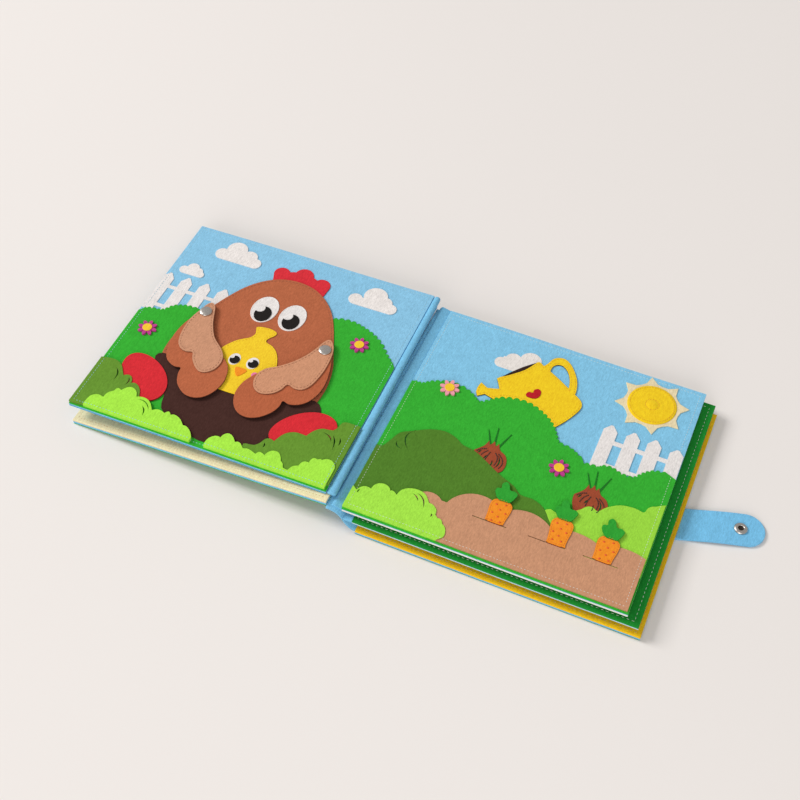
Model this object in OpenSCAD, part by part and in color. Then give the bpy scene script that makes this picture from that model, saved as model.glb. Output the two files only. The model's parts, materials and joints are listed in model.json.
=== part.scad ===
// Felt quiet book, open at the hen page and the garden page.
// X runs to the right across both pages, Y to the back, Z up. Millimetres.

/* [Pages] */
// side of a page
page_w = 210; // [190:1:230]
// one felt sheet of a leaf
sheet_t = 1.2; // [1.0:0.1:1.3]
// felt pieces of the pictures
felt_t = 0.7; // [0.6:0.05:0.8]

/* [Cover] */
// outer felt of a cover
cover_t = 2.0; // [1.8:0.1:2.2]
// inner lining of a cover
lining_t = 1.8; // [1.6:0.1:1.9]
// felt of the spine strip
spine_t = 1.6; // [1.4:0.1:1.8]

/* [Closure] */
// width of the closing strap
strap_w = 27; // [22:1:32]
// length of the strap past the cover
strap_len = 61; // [54:1:68]
// outside diameter of the snap ring
snap_d = 10; // [9:0.5:12]

/* [Wings] */
// diameter of the wing rivet heads
rivet_d = 10; // [9:0.5:11]
// clear space between a wing and what is near it
wing_gap = 0.3; // [0.25:0.05:0.4]

/* [Hidden] */
art_w = 210;
k = page_w / art_w;
curve_n = 3;
round_fn = 32;
cut = 1;
// heights of the right stack
green_z = 11;
garden_z = 17;
// the origin is the middle of the back cover's underside
back_x = -page_w / 2;
back_y = -page_w / 2;
garden_x = back_x - 12.5;
garden_y = back_y + 5;
green_x = garden_x + 9.3;
green_y = garden_y - 3;
// the spine leans from the back cover up to the front cover
fold_x = garden_x - 11;
fold_z = 15.3;
front_y = garden_y - 1;
cover_gap = 0.3;
meadow_t = felt_t;
front_t = meadow_t + cover_t + lining_t;
front_tilt = asin(fold_z / page_w);
// the hen leaf lies on the lining of the front cover
hen_x = garden_x - 14.5;
hen_y = garden_y + 5;
hen_z = fold_z + front_t + 2 * sheet_t;
hen_tilt = 1.3;
hen_yaw = 0.5;
// levels of felt above a page
level1 = felt_t;
level2 = 2 * felt_t;
level3 = 3 * felt_t;
level4 = 4 * felt_t;
level5 = 5 * felt_t;
level6 = 6 * felt_t;
thin_t = 0.5;
wing_t = 1.0;
wing_z = level4 + wing_gap + 0.1;
flower_t = 2.0;
rivet_r = 2.4;
rivet_head_t = 1.2;

// curves through chosen points
function spline(a, b, c, d, t) = 0.5 * (2 * b + (c - a) * t + (2 * a - 5 * b + 4 * c - d) * t * t
    + (3 * b - a - 3 * c + d) * t * t * t);
function closed(p) = [for (i = [0:len(p) - 1]) for (s = [0:curve_n - 1])
    spline(p[(i + len(p) - 1) % len(p)], p[i], p[(i + 1) % len(p)], p[(i + 2) % len(p)], s / curve_n)];
function at(p, i) = p[max(0, min(len(p) - 1, i))];
function open(p, n) = [for (i = [0:len(p) - 2]) for (s = [0:n - 1])
    spline(at(p, i - 1), at(p, i), at(p, i + 1), at(p, i + 2), s / n)];

// flat felt cut to an outline, between two heights above its page
module felt(z0, z1) {
  translate([0, 0, z0]) {
    linear_extrude(z1 - z0) {
      scale(k) {
        children();
      }
    }
  }
}

// the crest line with a round scallop standing on each of its steps
scallop_n = 4;
function scallops(crest, bulge) = [for (i = [0:len(crest) - 2]) for (s = [0:scallop_n - 1])
    let (d = crest[i + 1] - crest[i], t = s / scallop_n)
    crest[i] + d * t + [-d[1], d[0]] * bulge * pow(sin(180 * t), 0.75)];

// round lobes given as x, y, radius
module lobes(list) {
  for (q = list) {
    translate([q[0], q[1]]) {
      circle(q[2], $fn = round_fn);
    }
  }
}

// an outline of round lobes that meet in sharp notches
function lobed(list) = [for (q = list) for (p = open(q, 2)) p];

// a cut that bends through three points and runs out to nothing at both ends
cut_steps = 6;
function cut_middle(a, b, c, t) = a * (1 - t) * (1 - 2 * t) + b * 4 * t * (1 - t) + c * t * (2 * t - 1);
module curved_cut(a, b, c, w) {
  d = c - a;
  side = [-d[1], d[0]] / norm(d) * w / 2;
  polygon(concat(
    [for (i = [0:cut_steps]) cut_middle(a, b, c, i / cut_steps) + side * sin(180 * i / cut_steps)],
    [for (i = [1:cut_steps - 1]) cut_middle(a, b, c, 1 - i / cut_steps) - side * sin(180 * i / cut_steps)]));
}

// places of the pages and covers
module on_hen_page() {
  translate([hen_x, hen_y, hen_z]) {
    rotate([0, -hen_tilt, hen_yaw]) {
      translate([-page_w, 0, 0]) {
        children();
      }
    }
  }
}

module on_garden_page() {
  translate([garden_x, garden_y, garden_z]) {
    children();
  }
}

// origin at the fold of the front cover, X towards its free edge's opposite side
module on_front_cover() {
  translate([fold_x - cover_gap, front_y, fold_z]) {
    rotate([0, -front_tilt, 0]) {
      translate([-page_w, 0, 0]) {
        children();
      }
    }
  }
}

// outlines shared by both pages
module petals_2d() {
  petal_count = 8;
  petal_ring = 4.8;
  petal_long = 3.0;
  petal_wide = 1.6;
  circle(3.8, $fn = round_fn);
  for (i = [0:petal_count - 1]) {
    rotate(i * 360 / petal_count) {
      polygon([for (j = [0:11]) [petal_ring + petal_long * cos(j * 30), petal_wide * sin(j * 30)]]);
    }
  }
}

module picket_2d(x, half_w, y0, shoulder, top) {
  polygon([[x - half_w, y0], [x + half_w, y0], [x + half_w, shoulder], [x + 0.9, top],
    [x - 0.9, top], [x - half_w, shoulder]]);
}

// outlines of the hen page
left_hill_crest = [[2, 105.5], [5, 108.3], [13, 109.5], [19, 112], [23.5, 118], [30, 121.3], [38, 122.6], [46, 121.5]];
right_hill_crest = [[146, 154.5], [155, 157], [165, 157], [173, 154.6], [181.5, 151], [190, 145], [198, 136.5],
  [204.5, 131], [208, 127.6]];
hill_bulge = 0.42;

module hen_hill_2d() {
  intersection() {
    square(art_w);
    union() {
      polygon(concat([[0, 0], [0, 104]], scallops(open(left_hill_crest, 2), hill_bulge), [[70, 118], [130, 118]],
        scallops(open(right_hill_crest, 2), hill_bulge), [[art_w, 126], [art_w, 0]]));
    }
  }
}

module hen_fence_2d() {
  difference() {
    intersection() {
      translate([0.4, 108]) {
        square([70, 60]);
      }
      union() {
        for (x = [4, 20.5, 37, 53.5]) {
          picket_2d(x, 5, 100, 145, 150.5);
        }
        translate([0, 134.3]) {
          square([58, 3.4]);
        }
        translate([0, 113]) {
          square([58, 3.6]);
        }
      }
    }
    hen_hill_2d();
    hen_body_2d();
  }
}

module hen_clouds_2d() {
  lobes([[31.7, 186.4, 6], [41.2, 194.7, 8.7], [54.3, 190.8, 6.7], [61.3, 185.7, 5.4]]);
  translate([31.7, 180.4]) {
    square([29.6, 9]);
  }
  lobes([[11.4, 158, 4], [17.7, 162.3, 5], [23.3, 160, 3.7], [26.2, 157.2, 3.2]]);
  translate([11.4, 154]) {
    square([14.8, 5]);
  }
  lobes([[152.9, 182.2, 5.7], [167.2, 190.3, 9.7], [176.3, 186, 6.5], [183, 181.7, 5.3]]);
  translate([152.9, 176.4]) {
    square([30.1, 9]);
  }
}

module comb_2d() {
  lobes([[86.9, 184.4, 6.7], [104.7, 188.8, 7.9], [122.2, 184.2, 7.2]]);
  polygon([[80.4, 183], [85, 170], [128, 170], [129.3, 183], [113, 190], [96, 190]]);
}

hen_half = [[0, 180.3], [12, 178.6], [22, 174], [31, 166.8], [39, 157], [45.7, 145], [51.5, 132.5], [57.5, 119],
  [62.6, 106], [65.6, 92], [66.2, 80], [64.6, 69], [58, 62], [30, 59]];
module hen_body_2d() {
  body_x = 105;
  difference() {
    polygon(closed(concat(
      [for (i = [0:len(hen_half) - 1]) [body_x + hen_half[i][0], hen_half[i][1]]],
      [for (i = [len(hen_half) - 1:-1:1]) [body_x - hen_half[i][0], hen_half[i][1]]])));
    nest_2d();
  }
}

module eye_2d(x, y, w, h) {
  polygon([for (i = [0:27]) [x + w * cos(i * 360 / 28), y + h * sin(i * 360 / 28)]]);
}

module eye_whites_2d() {
  eye_2d(92.3, 142, 10.7, 14.3);
  eye_2d(116.4, 142, 10.7, 14.3);
}

module pupils_2d() {
  difference() {
    union() {
      eye_2d(93, 136.8, 6.8, 8);
      eye_2d(117, 137.3, 6.8, 8);
    }
    lobes([[88.4, 141.8, 4.2], [112.4, 142.2, 4.2]]);
  }
}

chick_line = [[105, 124.8], [111.8, 123.2], [112.4, 119.6], [108.9, 114.5], [109, 110.9], [115.5, 108.6],
  [122.2, 102.6], [128, 90], [130, 77], [127, 64], [118, 52], [92, 52], [82, 64], [78, 78], [79.2, 90],
  [81.3, 96], [86.3, 103.4], [91.6, 107.9], [95, 110.5], [97.2, 115.2], [96, 119.3], [95.6, 123]];
module chick_2d() {
  difference() {
    polygon(closed(chick_line));
    nest_2d();
  }
}

module chick_eye_whites_2d() {
  eye_2d(94.4, 85.7, 4.6, 6);
  eye_2d(109.2, 86.9, 4.8, 6);
}

module chick_pupils_2d() {
  difference() {
    lobes([[94.9, 85, 4], [109.9, 86.3, 4.1]]);
    lobes([[91.9, 87.4, 1.7], [107, 88.6, 1.7]]);
  }
}

module beak_2d() {
  polygon(closed([[99, 78.6], [103.7, 79.4], [108.5, 78.6], [107, 74.4], [103.9, 70.8], [100.6, 74.4]]));
}

module cheek_2d() {
  eye_2d(115.8, 76.8, 2.6, 2.6);
}

module nest_2d() {
  polygon(closed([[36.5, 66], [44, 71], [62, 62], [82, 56], [105, 54], [128, 56], [148, 63], [168, 72], [177.5, 63],
    [176, 48], [164, 31], [148, 17.5], [130, 9], [105, 5.6], [81, 13.4], [66, 22], [60, 38], [46, 50]]));
}

module egg_2d(x, y, major, minor, turn) {
  translate([x, y]) {
    rotate(turn) {
      polygon([for (i = [0:39]) [major * cos(i * 9), (minor + 1.2 * cos(i * 9)) * sin(i * 9)]]);
    }
  }
}

module eggs_2d() {
  egg_2d(38.8, 43.5, 25.5, 16.4, -41);
  egg_2d(172.5, 42.5, 25.5, 16.4, 36);
}

hen_olive_left = [[[-3, 48], [0, 48], [6, 49.2], [11, 49.6], [15, 48.6], [19, 46], [22, 42], [25, 38]],
  [[25, 38], [26.8, 39.4], [29, 40], [31.5, 39], [33.5, 36], [34, 33.5]],
  [[34, 33.5], [36.2, 34.6], [39, 34], [42, 32], [45, 27.5], [47, 18], [40, 8], [16, 2], [-3, 0.8]]];
hen_olive_right = [[[213, 61.6], [207, 61.6], [200, 61.6], [196.4, 60], [195.2, 55.6], [193, 50.8], [186, 49.5],
  [182, 47], [179, 43], [177, 38.5]],
  [[177, 38.5], [171, 38.8], [167, 38], [163, 35.5], [160, 31.5], [157.5, 25]],
  [[157.5, 25], [155, 26], [152, 25.5], [150, 23], [149, 20], [146, 16.5], [142, 15.6], [138, 14.4], [140, 8],
  [146, 5], [164, 4.6], [176, 4.4], [192, 5], [213, 5]]];
module hen_olive_2d() {
  olive_cut = 1.1;
  difference() {
    intersection() {
      square(art_w);
      union() {
        polygon(concat(lobed(hen_olive_left), [[-3, 0.8]]));
        polygon(concat(lobed(hen_olive_right), [[213, 5]]));
      }
    }
    curved_cut([16, 43], [20, 38], [20.3, 31], olive_cut);
    curved_cut([29.4, 38], [31.6, 34.6], [30.6, 29.5], olive_cut);
    curved_cut([187, 46.3], [193, 44.5], [195.5, 40.5], olive_cut);
    curved_cut([194.5, 46.5], [198, 42], [199.5, 34], olive_cut);
    curved_cut([200, 47], [202, 43], [202, 39], olive_cut);
    curved_cut([151.5, 21.5], [152.7, 19.2], [152.5, 16.5], olive_cut);
  }
}

hen_lime_left = [[[12, 1.2], [12, 6], [13, 10.5], [16, 13.3], [19, 13.8], [22.5, 13]],
  [[22.5, 13], [22.7, 16], [24, 19], [26.8, 21.5]],
  [[26.8, 21.5], [27.3, 23.7], [28.6, 25], [31.5, 24]],
  [[31.5, 24], [33, 26.7], [35.5, 29], [38, 29.5], [41, 28.5], [43.5, 26], [45, 22.8]],
  [[45, 22.8], [47, 23.7], [51, 24.3], [55, 23.3], [58.5, 20.5], [62, 15.8]],
  [[62, 15.8], [64, 17.3], [67, 18.3], [72, 17]],
  [[72, 17], [73.4, 19], [75, 19.3], [77, 17.2]],
  [[77, 17.2], [79, 18.3], [82, 18], [86, 16], [90, 12]],
  [[90, 12], [92.4, 12.2], [95, 11], [98, 8.5], [100.5, 5], [101, 3], [100.4, 1.2]]];
hen_lime_right = [[[112.4, 1.2], [112, 5], [113, 9], [116, 12.3], [119, 13], [120.5, 12.5]],
  [[120.5, 12.5], [121.2, 15.5], [123.5, 18], [126.5, 18], [129.5, 16], [132, 13]],
  [[132, 13], [134, 14], [136.5, 13.3], [140, 10]],
  [[140, 10], [142.6, 11], [145.5, 10.8], [150.5, 9]],
  [[150.5, 9], [151.5, 11], [153.5, 12], [157, 10.5]],
  [[157, 10.5], [158, 13.5], [160, 16], [163, 17], [166, 16.3], [168.5, 13.5], [170, 10.5]],
  [[170, 10.5], [172.2, 9], [173.4, 7], [174.4, 5.4], [178, 5]],
  [[178, 5], [178.7, 7], [180.2, 9.8], [183.5, 11.5]],
  [[183.5, 11.5], [184.3, 14.8], [186.5, 16.8], [189.3, 16.8]],
  [[189.3, 16.8], [189.5, 19.8], [191, 22], [194, 21.8]],
  [[194, 21.8], [195.6, 22.9], [197, 22.5]],
  [[197, 22.5], [199, 24.2], [202, 25], [205, 24], [207.5, 21.5], [208.4, 19]]];
module hen_lime_2d() {
  lime_cut = 1.1;
  difference() {
    union() {
      polygon(concat(lobed(hen_lime_left), [[100.4, 1.2]]));
      polygon(concat(lobed(hen_lime_right), [[208.4, 19], [208.4, 1.2]]));
    }
    curved_cut([46, 20.5], [54, 20.8], [60, 14], lime_cut);
    curved_cut([53, 17], [56.6, 13.5], [58, 8], lime_cut);
  }
}

// wing outlines, in page millimetres
left_pivot = [52.4, 119];
right_pivot = [155.6, 118];
left_wing_line = [[52.6, 128.8], [56, 126.2], [59, 119.3], [63, 109.6], [70.6, 98], [80, 90], [85.6, 83.6],
  [93.8, 76], [97.4, 67], [98.2, 57.7], [95.4, 47.6], [89.7, 40.4], [82.2, 37.8], [74.7, 39.4], [66.6, 46],
  [62.5, 55], [61.6, 60.6], [57, 60], [52, 61.6], [46.4, 66], [42, 76], [40.4, 89.3], [42, 102.7],
  [45.8, 114], [48.6, 126]];
left_panel_line = [[52.8, 129.7], [56.6, 127], [59.8, 119.3], [63.9, 109.3], [71.3, 97.7], [81.3, 89.3],
  [86.6, 82.4], [88, 75.2], [86.2, 67.9], [81.3, 63], [76.2, 62.2], [70.5, 66], [65.6, 71.8], [62.8, 77.4],
  [58, 76.2], [52.2, 77.6], [47.3, 83.5], [44.7, 94.3], [44.4, 107.7], [47.2, 119.3], [49.8, 127.4]];
right_wing_line = [[154.9, 128.8], [151.8, 124.6], [149, 116.8], [144.6, 107.7], [137.4, 98.4], [129.4, 90],
  [122.4, 84.6], [114.7, 73], [111.4, 64.3], [111, 54.3], [114.7, 44.4], [121.3, 38], [129.7, 36.4],
  [138, 40], [144.7, 47.6], [147.4, 55], [147.6, 60.6], [153, 59.4], [159.7, 61.8], [165.5, 67.6],
  [169.2, 77.7], [169.6, 89.3], [167, 103], [163, 115], [158.4, 126]];
right_panel_line = [[154.8, 129.7], [151.2, 126], [148.6, 117.7], [144.3, 107.7], [137.6, 97.7], [129.2, 89.3],
  [122.4, 84.3], [118.6, 77.6], [118.8, 69.3], [123, 62.4], [129.7, 60.2], [137.2, 63.4], [142, 69.3],
  [144.2, 75.6], [150.4, 74], [156.3, 75.3], [160.6, 81], [163, 91], [163.9, 102.7], [162.8, 116],
  [159.8, 125]];

module rivet_hole_2d(p) {
  translate(p) {
    circle((rivet_r + wing_gap) / k, $fn = round_fn);
  }
}

module felt_with_hole(line, p, z0, z1) {
  felt(z0, z1) {
    difference() {
      polygon(closed(line));
      rivet_hole_2d(p);
    }
  }
}

// outlines of the garden page
garden_left_crest = [[2, 129.4], [8, 129.2], [13, 133], [20.5, 136.6], [30, 138.8], [41, 137.4], [49, 133.4],
  [54.6, 130], [61, 134.4], [67, 139.4], [77, 142.8], [88, 144], [98, 141], [106, 136.8], [112.6, 131],
  [117, 124.6], [121.3, 117.6], [131, 116.2], [138, 112.6], [144.6, 107.2]];
garden_right_crest = [[144.6, 107.2], [154, 108], [157, 110.4], [164.6, 111.8], [172, 109], [181, 109.4],
  [185.6, 115], [190.6, 120], [198, 122.8], [208, 121.4]];
module garden_hill_2d() {
  intersection() {
    square(art_w);
    union() {
      polygon(concat([[0, 0], [0, 129]], scallops(open(garden_left_crest, 2), hill_bulge),
        scallops(open(garden_right_crest, 2), hill_bulge), [[art_w, 121], [art_w, 0]]));
    }
  }
}

module garden_fence_2d() {
  difference() {
    union() {
      for (x = [153.3, 170.8, 187.2]) {
        picket_2d(x, 5.3, 100, 145, 150.4);
      }
      picket_2d(204.4, 5.2, 100, 143.6, 148);
      translate([150, 132.8]) {
        square([54, 3.8]);
      }
      translate([150, 110.8]) {
        square([54, 3.6]);
      }
    }
    garden_hill_2d();
  }
}

can_line = [[[58.5, 157.5], [60.3, 160]],
  [[60.3, 160], [65, 166.8], [70, 173.5], [75, 179.5], [80.5, 185], [82.5, 186.6]],
  [[82.5, 186.6], [84.6, 186.2], [88.6, 183.6]],
  [[88.6, 183.6], [94.8, 180], [111.6, 170.8], [117.4, 167.5]],
  [[117.4, 167.5], [121, 165.4], [124.6, 162.6], [126.4, 158.8], [126.3, 154.5], [124, 148], [120, 139.6],
  [114.6, 131], [110, 126]],
  [[110, 126], [80, 122], [68, 136]], [[68, 136], [63.5, 149], [58.5, 157.5]]];
module can_shape_2d() {
  polygon(lobed(can_line));
  polygon([[49, 149], [55, 145.8], [60, 147.2], [66, 149.5], [68, 136], [62, 137.5], [55.4, 139.2], [50.6, 135.2],
    [48.4, 139], [48, 142.6], [48.3, 146]]);
}

handle_hole_line = [[[93.6, 181.4], [93.8, 186], [95.6, 189], [98, 190.4], [101.4, 190.2], [105.4, 187.2],
  [108.6, 182.4], [110.8, 176.6], [111.8, 171]], [[111.8, 171], [103, 176.3], [93.6, 181.4]]];
module can_handle_2d() {
  difference() {
    polygon(closed([[86.8, 180], [89.4, 188], [92.4, 195.2], [98.8, 198.2], [104.9, 195.6], [111.2, 188.4],
      [116.4, 178.5], [118.2, 166], [112, 164], [100, 172]]));
    polygon(lobed(handle_hole_line));
  }
}

module can_back_2d() {
  difference() {
    can_shape_2d();
    garden_hill_2d();
  }
}

module can_front_2d() {
  difference() {
    union() {
      difference() {
        can_shape_2d();
        polygon(concat(open([[60.3, 160], [65, 163.6], [70, 168.5], [75, 174], [78.6, 180], [81.6, 186.2]], 2),
          [[81.6, 186.2], [80, 194], [50, 170]]));
      }
      can_handle_2d();
    }
    garden_hill_2d();
  }
}

module heart_2d() {
  translate([91, 151]) {
    rotate(12) {
      polygon(closed([[0.6, -0.8], [4, 2.6], [4.2, 7.4], [1.6, 9], [-1, 7.4], [-1.6, 4.6], [-4.6, 4.8],
        [-6.6, 2.4], [-5.4, -0.2]]));
    }
  }
}

module sun_rays_2d() {
  ray_count = 8;
  ray_r = 28.3;
  ray_mid = 22;
  translate([174.7, 181.7]) {
    polygon([for (i = [0:ray_count * 4 - 1]) let (a = 15 + i * 90 / ray_count,
      r = i % 4 == 0 ? ray_r : (i % 2 == 0 ? ray_mid - 0.9 : ray_mid)) [r * cos(a), r * sin(a)]]);
  }
}

module garden_olive_2d() {
  olive_cut = 1.0;
  difference() {
    intersection() {
      translate([0, 18]) {
        square([150, 100]);
      }
      polygon(closed([[-4, 58], [4, 61.4], [7.8, 69.3], [11.6, 78.4], [19.7, 83.8], [30, 90], [41, 93.2],
        [51, 91], [58, 86.9], [68, 85.2], [78, 80.4], [88, 74.6], [97, 70.4], [105, 67], [111.6, 61.8],
        [121, 61.8], [129.7, 58.2], [136, 51], [140, 42], [120, 34], [60, 16], [-4, 16]]));
    }
    curved_cut([19.6, 83], [17.2, 75.4], [22.7, 66.4], olive_cut);
    curved_cut([12.6, 70], [14, 66.8], [18.2, 65], olive_cut);
  }
}

onion_line = [[[-4.7, 14], [-3.8, 12], [-3, 10.6]], [[-3, 10.6], [-1.8, 12], [-0.8, 15]],
  [[-0.8, 15], [0.4, 13], [1.3, 10.9]], [[1.3, 10.9], [2.2, 12], [3, 14]],
  [[3, 14], [4.5, 10.4], [6.5, 8], [10.5, 6], [13, 2], [14, -2.6], [13.8, -6.1], [12.2, -10], [4, -15], [-6, -14],
  [-11, -6], [-12, 1.2], [-10.8, 3], [-8.4, 5.8], [-6.2, 8.9], [-4.7, 14]]];
module onion_2d() {
  onion_cut = 1.3;
  difference() {
    polygon(lobed(onion_line));
    curved_cut([-6.7, 3.8], [-7.9, 2], [-8.8, 0], onion_cut);
    curved_cut([-1.2, 1], [-2.3, -1], [-3.2, -3.4], onion_cut);
    curved_cut([3.2, -1.6], [3.9, -5], [3.2, -8.6], onion_cut);
    curved_cut([5.6, 4.4], [8.8, -2.2], [6.6, -8.8], onion_cut);
  }
}

module onions_2d() {
  translate([79, 84.6]) {
    onion_2d();
  }
  translate([158.4, 76.4]) {
    onion_2d();
  }
}

module stem_2d(x0, y0, x1, y1) {
  stem_w = 0.8;
  polygon([[x0 - stem_w, y0], [x0 + stem_w, y0], [x1 + stem_w / 3, y1], [x1 - stem_w / 3, y1]]);
}

module onion_stems_2d() {
  for (q = [[79, 84.6], [158.4, 76.4]]) {
    translate(q) {
      stem_2d(-2, 9, -8.6, 23.6);
      stem_2d(0.4, 9, -2.4, 28);
      stem_2d(3, 9, 8.4, 26);
    }
  }
}

module garden_lime_hill_2d() {
  intersection() {
    translate([0, 30]) {
      square([art_w - 0.6, 80]);
    }
    polygon(closed([[128, 40], [133, 58], [140.6, 57.6], [147, 61.6], [154, 66.6], [158, 71.4], [162, 72.6],
      [166.4, 70.8], [171.4, 76.8], [180, 82.6], [190, 84.2], [196.6, 83.4], [198.4, 88.4], [203, 91.8],
      [214, 92], [214, 30], [170, 28]]));
  }
}

module soil_outline_2d() {
  intersection() {
    translate([30, 1.4]) {
      square([art_w - 31.2, 60]);
    }
    union() {
      lobes([[53.8, 26, 11.6], [88, 27, 22.8], [123, 23, 26.8], [159, 6, 41], [195, 9, 39]]);
      translate([44, 0]) {
        square([art_w - 45, 34]);
      }
    }
  }
}

carrots = [[102.7, 51.4, -1], [147, 53.6, 2], [181.7, 52, -2]];
slit_y = 30.6;
slit_w = 0.7;
slits = [[86.6, 112], [128, 155], [168, 193]];
module soil_2d() {
  difference() {
    soil_outline_2d();
    for (q = slits) {
      translate([q[0], slit_y]) {
        square([q[1] - q[0], slit_w]);
      }
    }
  }
}

// a carrot above its slit, with its top at the origin
module carrot_2d(h) {
  polygon(closed([[-7.6, -3.4], [-5, -0.4], [0, 0.6], [5, -0.4], [7.8, -3.4], [8, -9], [7.2, -15],
    [6.8, -20], [6.6, -h], [-6.2, -h], [-6.6, -20], [-7, -14], [-7.8, -8]]));
}

module carrots_2d() {
  intersection() {
    translate([0, slit_y + slit_w]) {
      square([art_w, 40]);
    }
    for (q = carrots) {
      translate([q[0], q[1]]) {
        rotate(q[2]) {
          carrot_2d(26);
        }
      }
    }
  }
}

// the bit of each carrot that goes down through its slit
module carrot_tabs_2d() {
  tab_w = 9.6;
  for (i = [0:len(carrots) - 1]) {
    translate([carrots[i][0] - tab_w / 2, slit_y + 0.2]) {
      square([tab_w, slit_w - 0.2]);
    }
  }
}

module carrot_tops_2d() {
  for (q = carrots) {
    translate([q[0], q[1]]) {
      polygon(closed([[-4.4, -0.6], [-8.4, 5], [-8, 8.4], [-5.2, 9.2], [-5.8, 13], [-3.4, 15.8], [-0.6, 14],
        [1.4, 9.8], [5, 10], [7.6, 8], [7, 4.4], [4.6, -0.6], [0, -1]]));
    }
  }
}

garden_lime_line = [[[0, 20], [2, 18.8], [3.5, 17.5]],
  [[3.5, 17.5], [5, 20], [7, 22.3], [10, 23], [12.8, 22.5]],
  [[12.8, 22.5], [13.5, 26], [16, 29], [20, 30.2], [24, 29], [26, 26.5]],
  [[26, 26.5], [27.4, 27.2], [29.5, 26.4], [31.5, 25]],
  [[31.5, 25], [32, 28], [33.5, 31], [37, 33.8], [42, 35.3], [47, 35], [51, 33], [55, 28]],
  [[55, 28], [57.5, 27.9], [60, 26.6], [62.3, 24], [62.8, 20.6]],
  [[62.8, 20.6], [65.4, 18.4]],
  [[65.4, 18.4], [67, 18.6], [69, 17.3], [70, 15.3]],
  [[70, 15.3], [72.2, 14], [74, 11.2], [74.8, 8], [74.6, 5.5], [73, 3.5], [70.5, 1.2]]];
module garden_lime_bush_2d() {
  lime_cut = 1.2;
  difference() {
    polygon(concat([[0, 1.2]], lobed(garden_lime_line), [[70.5, 1.2]]));
    curved_cut([43.5, 32.5], [50, 29.5], [53, 21.5], lime_cut);
    curved_cut([41, 31], [45, 29.4], [47.5, 26], lime_cut);
    curved_cut([60, 20.6], [60.6, 19.2], [60.3, 17.4], lime_cut);
    curved_cut([6, 19.5], [5.2, 17.6], [5, 15.5], lime_cut);
  }
}

// right half of the book
module back_cover() {
  color([0.42, 0.70, 0.87]) {
    translate([back_x, back_y, 0]) {
      cube([page_w, page_w, cover_t]);
    }
  }
}

module back_cover_lining() {
  color([0.97, 0.72, 0.10]) {
    translate([back_x, back_y, cover_t]) {
      cube([page_w, page_w, lining_t]);
    }
  }
}

spine_dx = back_x - fold_x;
spine_len = sqrt(spine_dx * spine_dx + fold_z * fold_z);
inner_x = spine_t * fold_z / spine_len;
inner_z = spine_t * spine_dx / spine_len;
module spine() {
  color([0.42, 0.70, 0.87]) {
    translate([0, (back_y + front_y) / 2 + page_w, 0]) {
      rotate([90, 0, 0]) {
        linear_extrude(page_w) {
          polygon([[back_x, 0], [fold_x, fold_z], [fold_x + inner_x, fold_z + inner_z],
            [back_x, spine_t * spine_len / spine_dx]]);
        }
      }
    }
  }
}

// height of the spine's inner face at an x
function spine_top(x) = fold_z + spine_t * spine_len / spine_dx - (x - fold_x) * fold_z / spine_dx;

module leaf(dx, dy, top, upper) {
  translate([dx, dy, upper ? top - sheet_t : top - 2 * sheet_t]) {
    cube([page_w, page_w, sheet_t]);
  }
}

// strip that ties a leaf's edge to the spine
module hinge_strip(edge_x, top, dy) {
  strip_low = top - 2 * sheet_t + 0.4;
  strip_high = top - 0.2;
  low_x = fold_x + (fold_z + spine_t * spine_len / spine_dx - strip_low) * spine_dx / fold_z;
  high_x = fold_x + (fold_z + spine_t * spine_len / spine_dx - strip_high) * spine_dx / fold_z;
  translate([0, dy + page_w, 0]) {
    rotate([90, 0, 0]) {
      linear_extrude(page_w) {
        polygon([[edge_x, strip_low], [edge_x, strip_high], [high_x, strip_high], [low_x, strip_low]]);
      }
    }
  }
}

module green_leaf_front() {
  color([0.09, 0.48, 0.15]) {
    leaf(green_x, green_y, green_z, true);
  }
}

module green_leaf_back() {
  color([0.72, 0.85, 0.90]) {
    leaf(green_x, green_y, green_z, false);
  }
}

module green_leaf_hinge_strip() {
  color([0.42, 0.70, 0.87]) {
    hinge_strip(green_x, green_z, green_y);
  }
}

module garden_leaf_sky() {
  color([0.47, 0.74, 0.90]) {
    leaf(garden_x, garden_y, garden_z, true);
  }
}

module garden_leaf_back() {
  color([0.90, 0.90, 0.86]) {
    leaf(garden_x, garden_y, garden_z, false);
  }
}

module garden_leaf_hinge_strip() {
  color([0.42, 0.70, 0.87]) {
    hinge_strip(garden_x, garden_z, garden_y);
  }
}

strap_turn = 17;
strap_z = cover_t + lining_t;
strap_felt_t = 2;
strap_base_y = back_y + page_w * 0.488;
strap_x = back_x + page_w;
module closure_strap() {
  color([0.42, 0.70, 0.87]) {
    difference() {
      translate([strap_x, strap_base_y, 0]) {
        linear_extrude(strap_felt_t) {
          rotate(strap_turn) {
            translate([-strap_w, -strap_w / 2]) {
              square([strap_len + strap_w / 2, strap_w]);
            }
            translate([strap_len - strap_w / 2, 0]) {
              circle(strap_w / 2, $fn = 64);
            }
          }
        }
      }
      translate([strap_x - 2 * strap_w, strap_base_y - 2 * strap_w, -cut]) {
        cube([2 * strap_w, 4 * strap_w, strap_z + 2 * cut]);
      }
    }
  }
}

module at_snap() {
  translate([strap_x, strap_base_y, strap_felt_t]) {
    rotate([0, 0, strap_turn]) {
      translate([strap_len - strap_w * 0.66, 0, 0]) {
        children();
      }
    }
  }
}

snap_hole = 2;
module snap_socket() {
  color([0.72, 0.72, 0.74]) {
    at_snap() {
      rotate_extrude($fn = 64) {
        polygon([[0, 0], [snap_d / 2, 0], [snap_d / 2, 0.5], [snap_d / 2 - 0.6, 1.2], [snap_d / 2 - 1.8, 1.5],
          [snap_hole + 0.4, 1.5], [snap_hole, 1.1], [snap_hole, 0.4], [0, 0.4]]);
      }
    }
  }
}

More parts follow.
